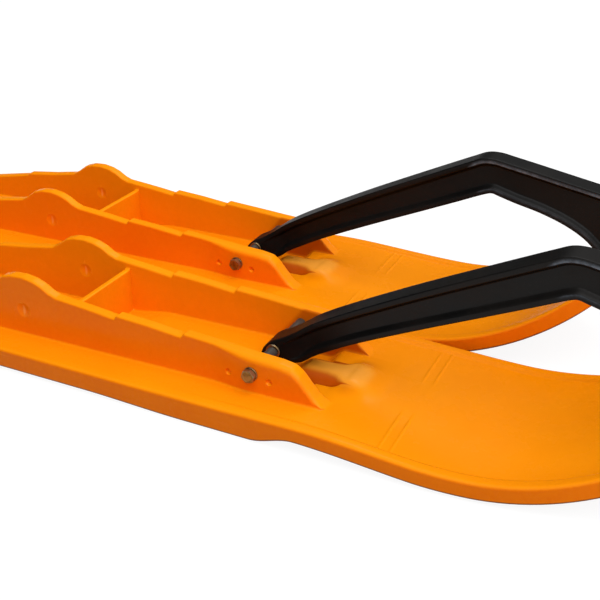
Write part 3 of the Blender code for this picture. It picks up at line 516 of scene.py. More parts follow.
def body_stations():
    """Places along X, each with the cross rib's height there or None, closer where the form changes."""
    places = spread(REAR_X, TIP_ARC_X, round((TIP_ARC_X - REAR_X) / STATION_SPACING))
    for x, _ in RIB_TOP:
        places += [x - TOP_BLEND, x, x + TOP_BLEND]
    places += [REAR_X + REAR_CORNER * share for share in REAR_SHARES]
    places += [CHANNEL_REAR_X - CHANNEL_END_RAMP * share for share in (0, 0.25, 0.5, 0.75, 1)]
    places += spread(POCKET_START_X, MOUND_END_X, FRONT_STEPS)
    for ridge in RIDGE_XS:
        places += [ridge + RIDGE_HALF_WIDTH * share for share in RIDGE_SHARES]
    places += spread(TIP_ARC_X, ARC_END_X, ARC_STEPS)
    blunt = (BLUNT_END / SHOVEL_HALF_WIDTH) ** (1 / TIP_FULLNESS)
    last = SHOVEL_X + (TIP_X - SHOVEL_X) * sqrt(1 - blunt)
    places += [ARC_END_X + (last - ARC_END_X) * share for share in TIP_SHARES]
    half = CROSS_RIB_THICKNESS / 2
    rounding = CROSS_RIB_ROUNDING
    skip = half + rounding
    kept = []
    for x in sorted(set(places)):
        if abs(x - CROSS_RIB_X) > skip + LEAST_GAP and (not kept or x - kept[-1][0] > LEAST_GAP):
            kept.append((x, None))
    foot = arc((skip, floor_height(CROSS_RIB_X) + rounding), rounding, 270, 180, 3)
    rise = foot + arc((half - rounding, CROSS_RIB_TOP - rounding), rounding, 0, 90, 3)
    cross = [(CROSS_RIB_X - dx, height) for dx, height in rise]
    cross += [(CROSS_RIB_X + dx, height) for dx, height in reversed(rise)]
    split = sum(x < CROSS_RIB_X for x, _ in kept)
    return kept[:split] + cross + kept[split:]


def skin(rows, closed=False, edge_highlights=None):
    """A solid's skin through rows of points, closed into a ring or else capped at its two ends.

    A row of one point makes a tip. Edge highlights, if given, hold a value for each point, the share of
    painted highlight, kept as the vertices' layer of that name."""
    shape = bmesh.new()
    layer = shape.verts.layers.float.new("edge_highlight") if edge_highlights else None
    made = [[shape.verts.new(point) for point in row] for row in rows]
    if edge_highlights:
        for row, values in zip(made, edge_highlights):
            for vert, value in zip(row, values):
                vert[layer] = value
    pairs = list(zip(made, made[1:]))
    if closed:
        pairs.append((made[-1], made[0]))
    sides = max(len(row) for row in made)
    for before, after in pairs:
        for i in range(sides):
            j = (i + 1) % sides
            corners = [before[i % len(before)], before[j % len(before)]]
            corners += [after[j % len(after)], after[i % len(after)]]
            shape.faces.new(list(dict.fromkeys(corners)))
    if not closed:
        for end in (made[0], made[-1][::-1]):
            if len(end) > 1:
                shape.faces.new(end)
    bmesh.ops.recalc_face_normals(shape, faces=shape.faces)
    return shape


def loft(rings, edge_highlights=None):
    """A closed mesh through rings that may run together in places."""
    shape = skin(rings, edge_highlights=edge_highlights)
    bmesh.ops.remove_doubles(shape, verts=shape.verts, dist=0.00003)
    bmesh.ops.dissolve_degenerate(shape, edges=shape.edges, dist=0.00002)
    bmesh.ops.recalc_face_normals(shape, faces=shape.faces)
    return shape


def ring(sides, place):
    """Points round Z, from a function that gives each one's radius and height by its number."""
    points = []
    for i in range(sides):
        angle = 2 * pi * i / sides
        radius, z = place(i)
        points.append((radius * cos(angle), radius * sin(angle), z))
    return points


def turned_shape(profile, sides=40):
    """A solid turned about Z from (radius, z) points; a profile off the axis is closed into a ring."""
    rows = [ring(sides if point[0] else 1, lambda i, point=point: point) for point in profile]
    return skin(rows, closed=profile[0][0] > 0)


def merged(shapes):
    """One mesh that holds several."""
    joined = bmesh.new()
    for shape in shapes:
        part = bpy.data.meshes.new("piece")
        shape.to_mesh(part)
        shape.free()
        joined.from_mesh(part)
        bpy.data.meshes.remove(part)
    return joined


def moved(shape, matrix):
    """The shape after a move."""
    bmesh.ops.transform(shape, matrix=matrix, verts=shape.verts)
    return shape


def turned(degrees, axis="Z"):
    """A turn about an axis."""
    return Matrix.Rotation(radians(degrees), 4, axis)


def on_tip(x, y, height):
    """Stands something made about Z square on the deck at x, y, this high over it."""
    return Matrix.Translation(above_deck(x, y, height)) @ Matrix.Rotation(-deck_angle(x), 4, "Y")


def linked(name, data):
    """A new object in the scene."""
    obj = bpy.data.objects.new(name, data)
    bpy.context.scene.collection.objects.link(obj)
    return obj


def shaded(mesh, sharp):
    """The mesh with smooth shading, its edges over the angle kept sharp."""
    mesh.shade_smooth()
    mesh.set_sharp_from_angle(angle=radians(sharp))
    return mesh


def mesh_of(shape, name, sharp=SHARP_ANGLE):
    """A smooth-shaded mesh from the shape."""
    mesh = bpy.data.meshes.new(name)
    shape.to_mesh(mesh)
    shape.free()
    return shaded(mesh, sharp)


def recess_cutter(mouth, floor, depth, soft):
    """A cutter for a blind round recess in a face at Z = 0, with a rounded mouth and floor."""
    profile = [(0, -depth), (floor * 0.6, -depth), (floor * 0.9, -depth * 0.93), (floor, -depth * 0.8)]
    profile += [(mouth - soft * 0.2, -soft), (mouth + soft * 0.25, -soft * 0.35), (mouth + soft, 0.0002)]
    profile += [(mouth + soft, depth), (0, depth)]
    return turned_shape(profile, 36)


def dish_cutter(radius, depth):
    """A cutter for a shallow round dish in a face at Z = 0."""
    profile = []
    for share in (0, 0.15, 0.3, 0.45, 0.6, 0.75, 0.88):
        profile.append((radius * share, -depth * cos(pi / 2 * share)))
    profile += [(radius, -0.00002), (radius * 1.04, 0.0002), (radius * 1.04, depth), (0, depth)]
    return turned_shape(profile, 48)


def body_mesh():
    """The moulded ski with rounded roots and edges, its marks and dimples cut in."""
    rings = []
    for x, cross in body_stations():
        rings.append([above_deck(x, y, height) for y, height in whole(body_section(x, cross))])
    cutters = []
    for side in (-1, 1):
        for face, outward in ((INNER_FACE_Y, -side), (OUTER_FACE_Y, side)):
            mark = dish_cutter(SPINDLE_MARK_RADIUS, SPINDLE_MARK_DEPTH)
            spot = Matrix.Translation((0, side * face, SPINDLE_MARK_HEIGHT)) @ turned(-90 * outward, "X")
            cutters.append(moved(mark, spot))
        for x in DIMPLE_XS:
            face = side * (OUTER_FACE_Y + pad_width(x))
            dimple = recess_cutter(DIMPLE_RADIUS, DIMPLE_FLOOR_RADIUS, DIMPLE_DEPTH, 0.0003)
            spot = Matrix.Translation((x, face, DIMPLE_HEIGHT)) @ turned(-90 * side, "X")
            cutters.append(moved(dimple, spot))
    body = linked("moulding", mesh_of(loft(rings), "moulding"))
    tool = linked("moulding_cutter", mesh_of(merged(cutters), "moulding_cutter"))
    modifier = body.modifiers.new("marks", "BOOLEAN")
    modifier.operation = "DIFFERENCE"
    modifier.object = tool
    graph = bpy.context.evaluated_depsgraph_get()
    mesh = bpy.data.meshes.new_from_object(body.evaluated_get(graph))
    mesh.name = "moulding_cut"
    for used in (body.data, tool.data):
        bpy.data.meshes.remove(used)
    return shaded(mesh, BODY_SHARP_ANGLE)


def curve_point(points, share):
    """Catmull-Rom point at share (0 to 1) along a list of 2-D points."""
    spans = len(points) - 1
    place = clamp(share) * spans
    i = min(int(place), spans - 1)
    t = place - i
    p1 = points[i]
    p2 = points[i + 1]
    p0 = points[i - 1] if i else 2 * p1 - p2
    p3 = points[i + 2] if i + 2 <= spans else 2 * p2 - p1
    linear = 2 * p1 + (p2 - p0) * t
    curved = (2 * p0 - 5 * p1 + 4 * p2 - p3) * t**2 + (3 * p1 - p0 - 3 * p2 + p3) * t**3
    return 0.5 * (linear + curved)


def loop_section(upper, lower, hollow, width, edge):
    """The handle's I-shaped section between two edge points, its corners rounded."""
    half = width / 2
    depth = (upper - lower).length
    down = (lower - upper) / depth
    edge = min(edge, LOOP_EDGE_LIMIT * depth)
    flange = max(min(LOOP_FLANGE, LOOP_FLANGE_LIMIT * depth), LOOP_FLANGE_OVER_EDGE * edge)
    run = 0.8 * hollow + 0.0006
    side = [(0, 0), (half * 0.5, 0)]
    side += [(y, -distance) for y, distance in arc((half - edge, -edge), edge, 90, 0, 4)]
    side += [(half - hollow * smooth(share), flange - 0.0003 + run * share) for share in SMOOTH_SHARES]
    section = []
    for y, distance in whole(both_ends(side, depth)):
        point = upper + down * distance
        section.append(Vector((point.x, y, point.y)))
    return section


def foot_pad_shape():
    """The handle's foot, a slab with rounded edges on the tip."""
    shape = bmesh.new()
    size = Vector((FOOT_PAD_LENGTH, FOOT_PAD_WIDTH, FOOT_PAD_THICKNESS))
    bmesh.ops.create_cube(shape, size=1)
    bmesh.ops.scale(shape, vec=size, verts=shape.verts)
    bmesh.ops.translate(shape, vec=(0, 0, FOOT_PAD_THICKNESS / 2), verts=shape.verts)
    edges = list(shape.edges)
    bmesh.ops.bevel(shape, geom=edges, offset=FOOT_PAD_ROUNDING, segments=4, profile=0.5, affect="EDGES")
    return moved(shape, on_tip(FOOT_PAD_X, 0, CLEARANCE))


def handle_mesh():
    """The bent handle with its round eye and its foot on the tip."""
    uppers = []
    lowers = []
    along = Vector((cos(LOOP_TOE_ANGLE), sin(LOOP_TOE_ANGLE)))
    across = Vector((-along.y, along.x))
    eye = Vector((LOOP_BOLT_X, LOOP_BOLT_HEIGHT))
    for degrees in LOOP_TOE_TURNS:
        turn = radians(degrees)
        back = eye - along * LOOP_TOE_REACH * cos(turn)
        uppers.append(back + across * LOOP_TOE_RISE * sin(turn))
        lowers.append(back - across * LOOP_TOE_DROP * sin(turn))
    uppers += [Vector(row[:2]) for row in LOOP_ARMS + LOOP_FOOT]
    lowers += [Vector(row[2:]) for row in LOOP_ARMS]
    lowers += [above_deck(row[2], 0, CLEARANCE).xz for row in LOOP_FOOT]
    last = len(uppers) - 1
    rings = []
    edge_highlights = []
    for step in range(last * LOOP_STEPS + 1):
        i = step / LOOP_STEPS
        toe_end = i - len(LOOP_TOE_TURNS)
        share = clamp(min(toe_end, last - 1 - i) / LOOP_SOLID_ENDS)
        widen = clamp(toe_end / LOOP_SOLID_ENDS)
        width = LOOP_TOE_WIDTH + (LOOP_WIDTH - LOOP_TOE_WIDTH) * widen
        edge = LOOP_TOE_EDGE + (LOOP_EDGE - LOOP_TOE_EDGE) * widen
        upper = curve_point(uppers, i / last)
        lower = curve_point(lowers, i / last)
        rings.append(loop_section(upper, lower, LOOP_RECESS * smooth(share), width, edge))
        # Share of painted highlight on the flange corners of the front arm
        highlight_share = ramp(upper.x, *EDGE_HIGHLIGHT_XS)
        values = [0] * len(rings[-1])
        for place, amount in EDGE_HIGHLIGHT_PLACES:
            values[place] = amount * highlight_share
            values[-place] = amount * highlight_share
        edge_highlights.append(values)
    return mesh_of(merged([loft(rings, edge_highlights), foot_pad_shape()]), "handle", HANDLE_SHARP_ANGLE)


def hex_shape(across_flats, start, end, bore=0, collar=0):
    """A hexagonal head or nut about Z from start to end, both ends turned down.

    A bore makes it a nut, with a round collar at its end; without one its end is a dished head."""
    flat = across_flats / 2 * 0.97
    sign = 1 if end > start else -1
    hex_end = end - sign * collar
    # Rows of radius and height; a radius of None follows the hexagon, its height turned down by slope
    rows = [(bore, start + sign * 0.0003), (bore + 0.0003, start)] if bore else []
    inner = flat - 0.0002
    rows += [(inner, start), (None, start, sign), (None, hex_end, -sign), (inner, hex_end)]
    if collar:
        wall = flat * 0.86
        rows += [(wall + 0.0002, hex_end), (wall, hex_end + sign * collar * 0.3)]
        rows += [(wall - 0.0001, end - sign * collar * 0.25), (wall - 0.0005, end)]
    if bore:
        rows += [(bore + 0.0003, end), (bore, end - sign * 0.0003)]
    else:
        rows += [(flat * 0.82, end), (flat * 0.74, end - sign * 0.00025)]

    def place(i, radius, z, slope=0):
        if radius is not None:
            return radius, z
        off = (360 * i / HEX_SIDES + 30) % 60 - 30
        corner = across_flats / 2 / cos(radians(off))
        return corner, z + slope * ((corner - flat) * HEX_CHAMFER)

    return skin([ring(HEX_SIDES, lambda i, row=row: place(i, *row)) for row in rows], closed=bool(bore))


def threaded_shape(radius, start, thread_start, end):
    """A shank about Z, plain up to thread_start and with a helical thread from there to end."""
    sides = 32
    per_turn = 8
    taper = 0.0006
    rows = [ring(sides, lambda i: (radius, start)), ring(sides, lambda i: (radius, thread_start))]

    def place(i, z):
        turn = (z / THREAD_PITCH + i / sides) % 1
        depth = THREAD_DEPTH * (1 - abs(2 * turn - 1)) * clamp((z - thread_start) / THREAD_PITCH)
        limit = radius - clamp((z - end + taper) / taper) * taper * 0.8
        return min(radius - depth, limit), z

    steps = round((end - thread_start) / THREAD_PITCH * per_turn)
    for z in spread(thread_start, end, steps)[1:]:
        rows.append(ring(sides, lambda i, z=z: place(i, z)))
    return skin(rows)


def washer_shape():
    """A flat washer about Z with softened edges, from 0 up."""
    soft = 0.0002
    end = [(BORE_RADIUS, soft), (BORE_RADIUS + soft, 0), (WASHER_RADIUS - soft, 0), (WASHER_RADIUS, soft)]
    return turned_shape(both_ends(end, WASHER_THICKNESS), 48)


def nut_shape():
    """A lock nut about Z, from 0 up, with its round collar."""
    return hex_shape(HEX_WIDTH, 0, NUT_HEIGHT, BOLT_DIAMETER / 2, NUT_COLLAR)


def hex_bolt_shape(length):
    """A hexagonal bolt about Z: its head below 0 and its shank up to length."""
    shank = threaded_shape(BOLT_DIAMETER / 2, -0.0005, length - LOOP_THREAD, length)
    return merged([hex_shape(HEX_WIDTH, 0, -HEAD_HEIGHT), shank])


def dome_bolt_shape(length):
    """A bolt about Z with a low domed head below 0, its shank up to length."""
    profile = [(0, -DOME_RISE)]
    for degrees in (10, 20, 30, 40, 50, 60, 70, 80):
        turn = radians(degrees)
        profile.append((DOME_RADIUS * sin(turn), -DOME_RISE * cos(turn)))
    profile += [(DOME_RADIUS, -0.0001), (DOME_RADIUS - 0.0002, 0), (0, 0)]
    shank = threaded_shape(BOLT_DIAMETER / 2, -0.0003, length - TIP_THREAD, length)
    return merged([turned_shape(profile), shank])


def spacer_shape(length):
    """A plain sleeve about Z, from 0 up."""
    outer = SPACER_DIAMETER / 2
    soft = 0.0004
    return turned_shape(both_ends([(BORE_RADIUS, 0), (outer - soft, 0), (outer, soft)], length))


def bar_shape():
    """The round wear bar with tapered noses, and its threaded studs."""
    radius = BAR_DIAMETER / 2
    length = BAR_FRONT_X - BAR_REAR_X
    profile = [(0, 0), (radius * 0.34, 0), (radius * 0.5, 0.0004), (radius * 0.8, BAR_NOSE * 0.6)]
    inset = BAR_NOSE * 1.1
    profile += [(radius * 0.94, BAR_NOSE * 0.85), (radius, inset)]
    profile += [(radius, z) for z in spread(inset, length - inset, BAR_STEPS)[1:-1]]
    profile += [(r, length - z) for r, z in reversed(profile[:6])]
    lay = Matrix.Translation((BAR_REAR_X, 0, BAR_AXIS_Z)) @ turned(90, "Y")
    shapes = [moved(turned_shape(profile), lay)]
    for x in STUD_XS:
        top = floor_height(x) + WASHER_THICKNESS + 2 * CLEARANCE + NUT_REACH
        stud = threaded_shape(BOLT_DIAMETER / 2, BAR_AXIS_Z, top - STUD_THREAD, top)
        shapes.append(moved(stud, Matrix.Translation((x, 0, 0))))
    return merged(shapes)


class Look:
    """The node tree of a material or of the world, with short ways to add to it."""

    def __init__(self, name, kind="materials", shader="Principled BSDF"):
        self.owner = getattr(bpy.data, kind).new(name)
        self.owner.use_nodes = True
        self.tree = self.owner.node_tree
        self.shader = self.tree.nodes[shader]

    def put(self, value, socket):
        if hasattr(value, "is_linked"):
            self.tree.links.new(value, socket)
        else:
            socket.default_value = value

    def finish(self, **values):
        """Sets the shader's inputs, named with _ for each space, and gives back the owner."""
        for name, value in values.items():
            self.put(value, self.shader.inputs[name.replace("_", " ")])
        return self.owner

    def add(self, kind, inputs, output, **settings):
        """One output of a new node that has these inputs and settings."""
        made = self.tree.nodes.new("ShaderNode" + kind)
        for key, value in settings.items():
            setattr(made, key, value)
        for key, value in inputs.items():
            self.put(value, made.inputs[key])
        return made.outputs[output]

    def coordinates(self, kind="Object"):
        return self.add("TexCoord", {}, kind)

    def surface(self, output):
        """The surface's Normal, or its Pointiness: 0.5 where flat, more on edges, less in corners."""
        return self.add("NewGeometry", {}, output)

    def axis(self, vector, name):
        """The X, Y or Z of a vector."""
        return self.add("SeparateXYZ", {0: vector}, name)

    def rays(self, first, *others):
        """1 for rays of these kinds, 0 for the rest."""
        seen = self.add("LightPath", {}, f"Is {first} Ray")
        for kind in others:
            seen = self.math("MAXIMUM", seen, self.add("LightPath", {}, f"Is {kind} Ray"))
        return seen

    def noise(self, scale, detail, roughness, seed, stretch=None, distortion=0):
        """Noise from the object's own coordinates, stretched along axes, as a value round 0.5."""
        place = self.coordinates()
        if stretch:
            place = self.add("Mapping", {"Vector": place, "Scale": stretch}, "Vector")
        inputs = {"Vector": place, "W": seed, "Scale": scale, "Detail": detail}
        inputs |= {"Roughness": roughness, "Distortion": distortion}
        return self.add("TexNoise", inputs, "Fac", noise_dimensions="4D")

    def math(self, operation, a, b=0, clamped=False):
        return self.add("Math", {0: a, 1: b}, 0, operation=operation, use_clamp=clamped)

    def times(self, first, *others):
        """The values' product."""
        for other in others:
            first = self.math("MULTIPLY", first, other)
        return first

    def patchy(self, mask, patches, share, least):
        """The mask, held down to this least share of itself between the patches."""
        return self.times(mask, self.math("ADD", self.times(patches, share), least))

    def ellipse(self, *axes):
        """0 in an ellipse's middle, 1 on its outline; an axis is a value, its middle and half length."""
        squares = []
        for value, middle, half in axes:
            share = self.times(self.math("SUBTRACT", value, middle), 1 / half)
            squares.append(self.math("POWER", share, 2))
        return self.math("ADD", *squares)

    def band(self, value, low, high, to_low=0, to_high=1):
        """The value's range low to high spread over to_low to to_high, held at both ends."""
        inputs = {"Value": value, "From Min": low, "From Max": high, "To Min": to_low, "To Max": to_high}
        return self.add("MapRange", inputs, "Result", interpolation_type="SMOOTHSTEP")

    def mix(self, share, a, b):
        """The colour a, and b by this share."""
        a, b = (colour if hasattr(colour, "is_linked") else (*colour, 1) for colour in (a, b))
        return self.add("Mix", {"Factor": share, 6: a, 7: b}, 2, data_type="RGBA")

    def paint(self, base, mask, amount, colour):
        """The base with this amount of a colour over it where the mask is 1."""
        return self.mix(self.times(mask, amount), base, colour)

    def bump(self, height, distance, strength, before=None):
        inputs = {"Height": height, "Distance": distance, "Strength": strength}
        if before:
            inputs["Normal"] = before
        return self.add("Bump", inputs, "Normal")


def orange_plastic(name, seed):
    """Moulded polyethylene: faint mottling, sanded-looking grain, long scuffs and paler worn edges, with
    light, shade, highlights and shadows painted in.
    """
    look = Look(name)
    x, y, z = (look.axis(look.coordinates(), axis) for axis in "XYZ")
    off_centre = look.math("ABSOLUTE", y)
    upward, sideways = (look.axis(look.surface("Normal"), axis) for axis in "ZY")
    # Mottled. Painted light and shade: faces that look up get a paler, lit copy of the colour and upright
    # faces a redder, shaded one, which is painted yellower and duller inside the channel
    cloud = look.band(look.noise(7, 3, 0.55, seed), 0.32, 0.68)
    shade = look.mix(cloud, (0.85, 0.16, 0.001), (0.89, 0.188, 0.0014))
    lit_top = look.mix(cloud, (0.92, 0.255, 0.001), (0.95, 0.282, 0.0016))
    inside = look.band(off_centre, INNER_FACE_Y + 0.002, INNER_FACE_Y + 0.0004)
    shade = look.paint(shade, inside, 0.8, (0.8, 0.225, 0.0012))
    base = look.mix(look.band(upward, 0.15, 0.85), shade, lit_top)
    # A painted highlight streak on the spindle marks
    around = look.ellipse((x, 0, HIGHLIGHT_STREAK_HALF_WIDTH), (z, SPINDLE_MARK_HEIGHT, HIGHLIGHT_STREAK_HALF_HEIGHT))
    by_rib = look.band(off_centre, INNER_FACE_Y - 0.001, INNER_FACE_Y + 0.0005)
    base = look.paint(base, look.times(look.band(around, 1, 0.15), by_rib), 0.45, (1, 0.42, 0.1))
    # Painted shade on the lower edges, which face down
    outside = look.band(off_centre, OUTER_FACE_Y + 0.004, OUTER_FACE_Y + 0.008)
    under = look.times(look.band(upward, -0.03, -0.3), outside)
    base = look.paint(base, under, 0.85, (0.13, 0.04, 0.004))
    fine = look.noise(260, 3, 0.6, seed + 2)
    base = look.mix(look.band(fine, 0.3, 0.7, 0, 0.12), base, (1, 0.31, 0.004))
    # Painted light and sheen on the mound's crown, where the handle's shadow falls
    around = look.ellipse((x, SHEEN_X, SHEEN_HALF_LENGTH), (off_centre, 0, SHEEN_HALF_WIDTH))
    sheen = look.times(look.band(around, 1, 0), look.band(upward, 0.55, 0.92))
    sheen = look.times(sheen, look.band(z, *SHEEN_HEIGHTS))
    base = look.paint(base, sheen, 0.6, (1, 0.43, 0.055))
    # Painted shade and shadow, deep red, on the upright faces at the channel's front: the near rib's
    # shadow on the mound's flank and the handle's shadow on the far rib
    painted_shadow = look.band(look.math("ABSOLUTE", sideways), 0.15, 0.55)
    by_rib = look.band(off_centre, INNER_FACE_Y - 0.006, INNER_FACE_Y - 0.0045)
    slanted = look.math("SUBTRACT", x, look.times(z, SHADE_SLANT))
    painted_shadow = look.times(
        painted_shadow, inside, look.math("SUBTRACT", 1, look.times(by_rib, 0.35)),
        look.band(slanted, *SHADE_START_XS), look.band(x, MOUND_END_X, MOUND_FADE_X),
    )
    base = look.paint(base, painted_shadow, 0.85, (0.42, 0.042, 0.0005))
    # Wear on edges, shade in corners, long scuffs
    edges = look.surface("Pointiness")
    broken = look.band(look.noise(85, 4, 0.65, seed + 3), 0.38, 0.62)
    worn = look.patchy(look.band(edges, 0.515, 0.6), broken, 0.6, 0.25)
    base = look.paint(base, worn, 0.55, (1, 0.36, 0.02))
    base = look.paint(base, look.band(edges, 0.485, 0.42), 0.35, (0.62, 0.085, 0.001))
    scuff = look.noise(1, 5, 0.7, seed + 5, (9, 520, 520), 0.15)
    patch = look.band(look.noise(11, 2, 0.5, seed + 7), 0.46, 0.66)
    scuff = look.times(look.band(scuff, 0.62, 0.7), patch)
    base = look.paint(base, scuff, 0.18, (1, 0.42, 0.08))
    rough = look.band(look.noise(38, 4, 0.6, seed + 9), 0.3, 0.7, 0.23, 0.31)
    rough = look.math("ADD", rough, look.times(scuff, 0.16))
    rough = look.math("ADD", rough, look.times(worn, 0.1), True)
    normal = look.bump(look.noise(95, 2, 0.5, seed + 11), 0.00025, 0.1)
    normal = look.bump(look.noise(900, 3, 0.6, seed + 12), 0.00006, 0.35, normal)
    normal = look.bump(scuff, 0.0001, 0.35, normal)
    return look.finish(Base_Color=base, Roughness=rough, Normal=normal, Specular_IOR_Level=0.07)


def black_nylon(name, seed):
    """Glass-filled nylon: near black with a faint warm haze, fine grain, worn edges, painted highlights
    on the flange corners and painted shade on faces that look down.
    """
    look = Look(name)
    cloud = look.noise(16, 4, 0.6, seed)
    base = look.mix(look.band(cloud, 0.35, 0.65), (0.0026, 0.0025, 0.0024), (0.0058, 0.0046, 0.0038))
    speck = look.band(look.noise(700, 2, 0.5, seed + 1), 0.6, 0.72)
    base = look.paint(base, speck, 0.35, (0.018, 0.016, 0.015))
    broken = look.band(look.noise(140, 4, 0.65, seed + 2), 0.4, 0.62)
    worn = look.patchy(look.band(look.surface("Pointiness"), 0.53, 0.62), broken, 0.7, 0.2)
    base = look.paint(base, worn, 0.5, (0.06, 0.058, 0.056))
    # Painted highlight along the handle's flange corners
    edge_highlight = look.band(look.add("Attribute", {}, "Fac", attribute_name="edge_highlight"), 0.25, 1)
    base = look.paint(base, look.patchy(edge_highlight, broken, 0.5, 0.5), 0.85, (0.21, 0.25, 0.3))
    # Painted shade on faces that look down
    downward_shade = look.band(look.axis(look.surface("Normal"), "Z"), 0, -0.35)
    base = look.paint(base, downward_shade, 0.9, (0.0008, 0.001, 0.0011))
    streak = look.band(look.noise(1, 4, 0.6, seed + 4, (60, 320, 60)), 0.55, 0.75)
    rough = look.math("ADD", look.band(cloud, 0.3, 0.7, 0.36, 0.5), look.times(streak, 0.08))
    normal = look.bump(look.noise(60, 2, 0.5, seed + 5), 0.0003, 0.25)
    normal = look.bump(look.noise(1500, 3, 0.65, seed + 6), 0.00006, 0.5, normal)
    return look.finish(Base_Color=base, Roughness=rough, Normal=normal, Specular_IOR_Level=0.16)


def zinc_steel(name, seed):
    """Yellow-passivated zinc: gold with olive and rose clouds, dulled in patches."""
    look = Look(name)
    cloud = look.noise(240, 4, 0.6, seed, distortion=0.6)
    base = look.mix(look.band(cloud, 0.36, 0.6), (0.17, 0.09, 0.022), (0.33, 0.19, 0.055))
    rose = look.band(look.noise(420, 3, 0.6, seed + 2), 0.55, 0.7)
    base = look.paint(base, rose, 0.35, (0.3, 0.12, 0.05))
    worn = look.band(look.surface("Pointiness"), 0.53, 0.62)
    base = look.paint(base, worn, 0.6, (0.46, 0.4, 0.3))
    rough = look.band(cloud, 0.3, 0.7, 0.34, 0.52)
    normal = look.bump(look.noise(1800, 3, 0.6, seed + 4), 0.00004, 0.4)
    return look.finish(Base_Color=base, Roughness=rough, Normal=normal, Metallic=1)


def shade_dark_steel(name, seed):
    """Turned steel, coloured near black as painted shade for the shaded spacers beside the handle's toe:
    brown-black clouds, turning lines and bare worn rims.
    """
    look = Look(name)
    cloud = look.noise(300, 4, 0.6, seed)
    base = look.mix(look.band(cloud, 0.36, 0.62), (0.006, 0.004, 0.003), (0.02, 0.013, 0.01))
    worn = look.band(look.surface("Pointiness"), 0.53, 0.62)
    base = look.paint(base, worn, 0.3, (0.3, 0.27, 0.23))
    rough = look.band(cloud, 0.3, 0.7, 0.34, 0.48)
    normal = look.bump(look.noise(1, 3, 0.6, seed + 2, (60, 2600, 60)), 0.00003, 0.4)
    return look.finish(Base_Color=base, Roughness=rough, Normal=normal, Specular_IOR_Level=0.2)


def bar_steel(name, seed):
    """Drawn steel rod: draw lines along it, grey oxide patches, brown and blue tints by the welds."""
    look = Look(name)
    lines = look.noise(1, 5, 0.65, seed, (14, 1600, 1600))
    oxide = look.band(look.noise(65, 5, 0.65, seed + 1), 0.46, 0.66)
    base = look.mix(look.band(lines, 0.35, 0.65), (0.3,) * 3, (0.44, 0.435, 0.42))
    base = look.paint(base, oxide, 0.55, (0.17, 0.155, 0.14))
    for x in STUD_XS:
        away = look.math("ABSOLUTE", look.math("SUBTRACT", look.axis(look.coordinates(), "X"), x))
        base = look.paint(base, look.band(away, 0.016, 0.008), 0.55, (0.26, 0.16, 0.07))
        base = look.paint(base, look.band(away, 0.009, 0.004), 0.5, (0.07, 0.09, 0.16))
    rough = look.band(oxide, 0, 1, 0.26, 0.52)
    normal = look.bump(lines, 0.00006, 0.5)
    return look.finish(Base_Color=base, Roughness=rough, Normal=normal, Metallic=1)


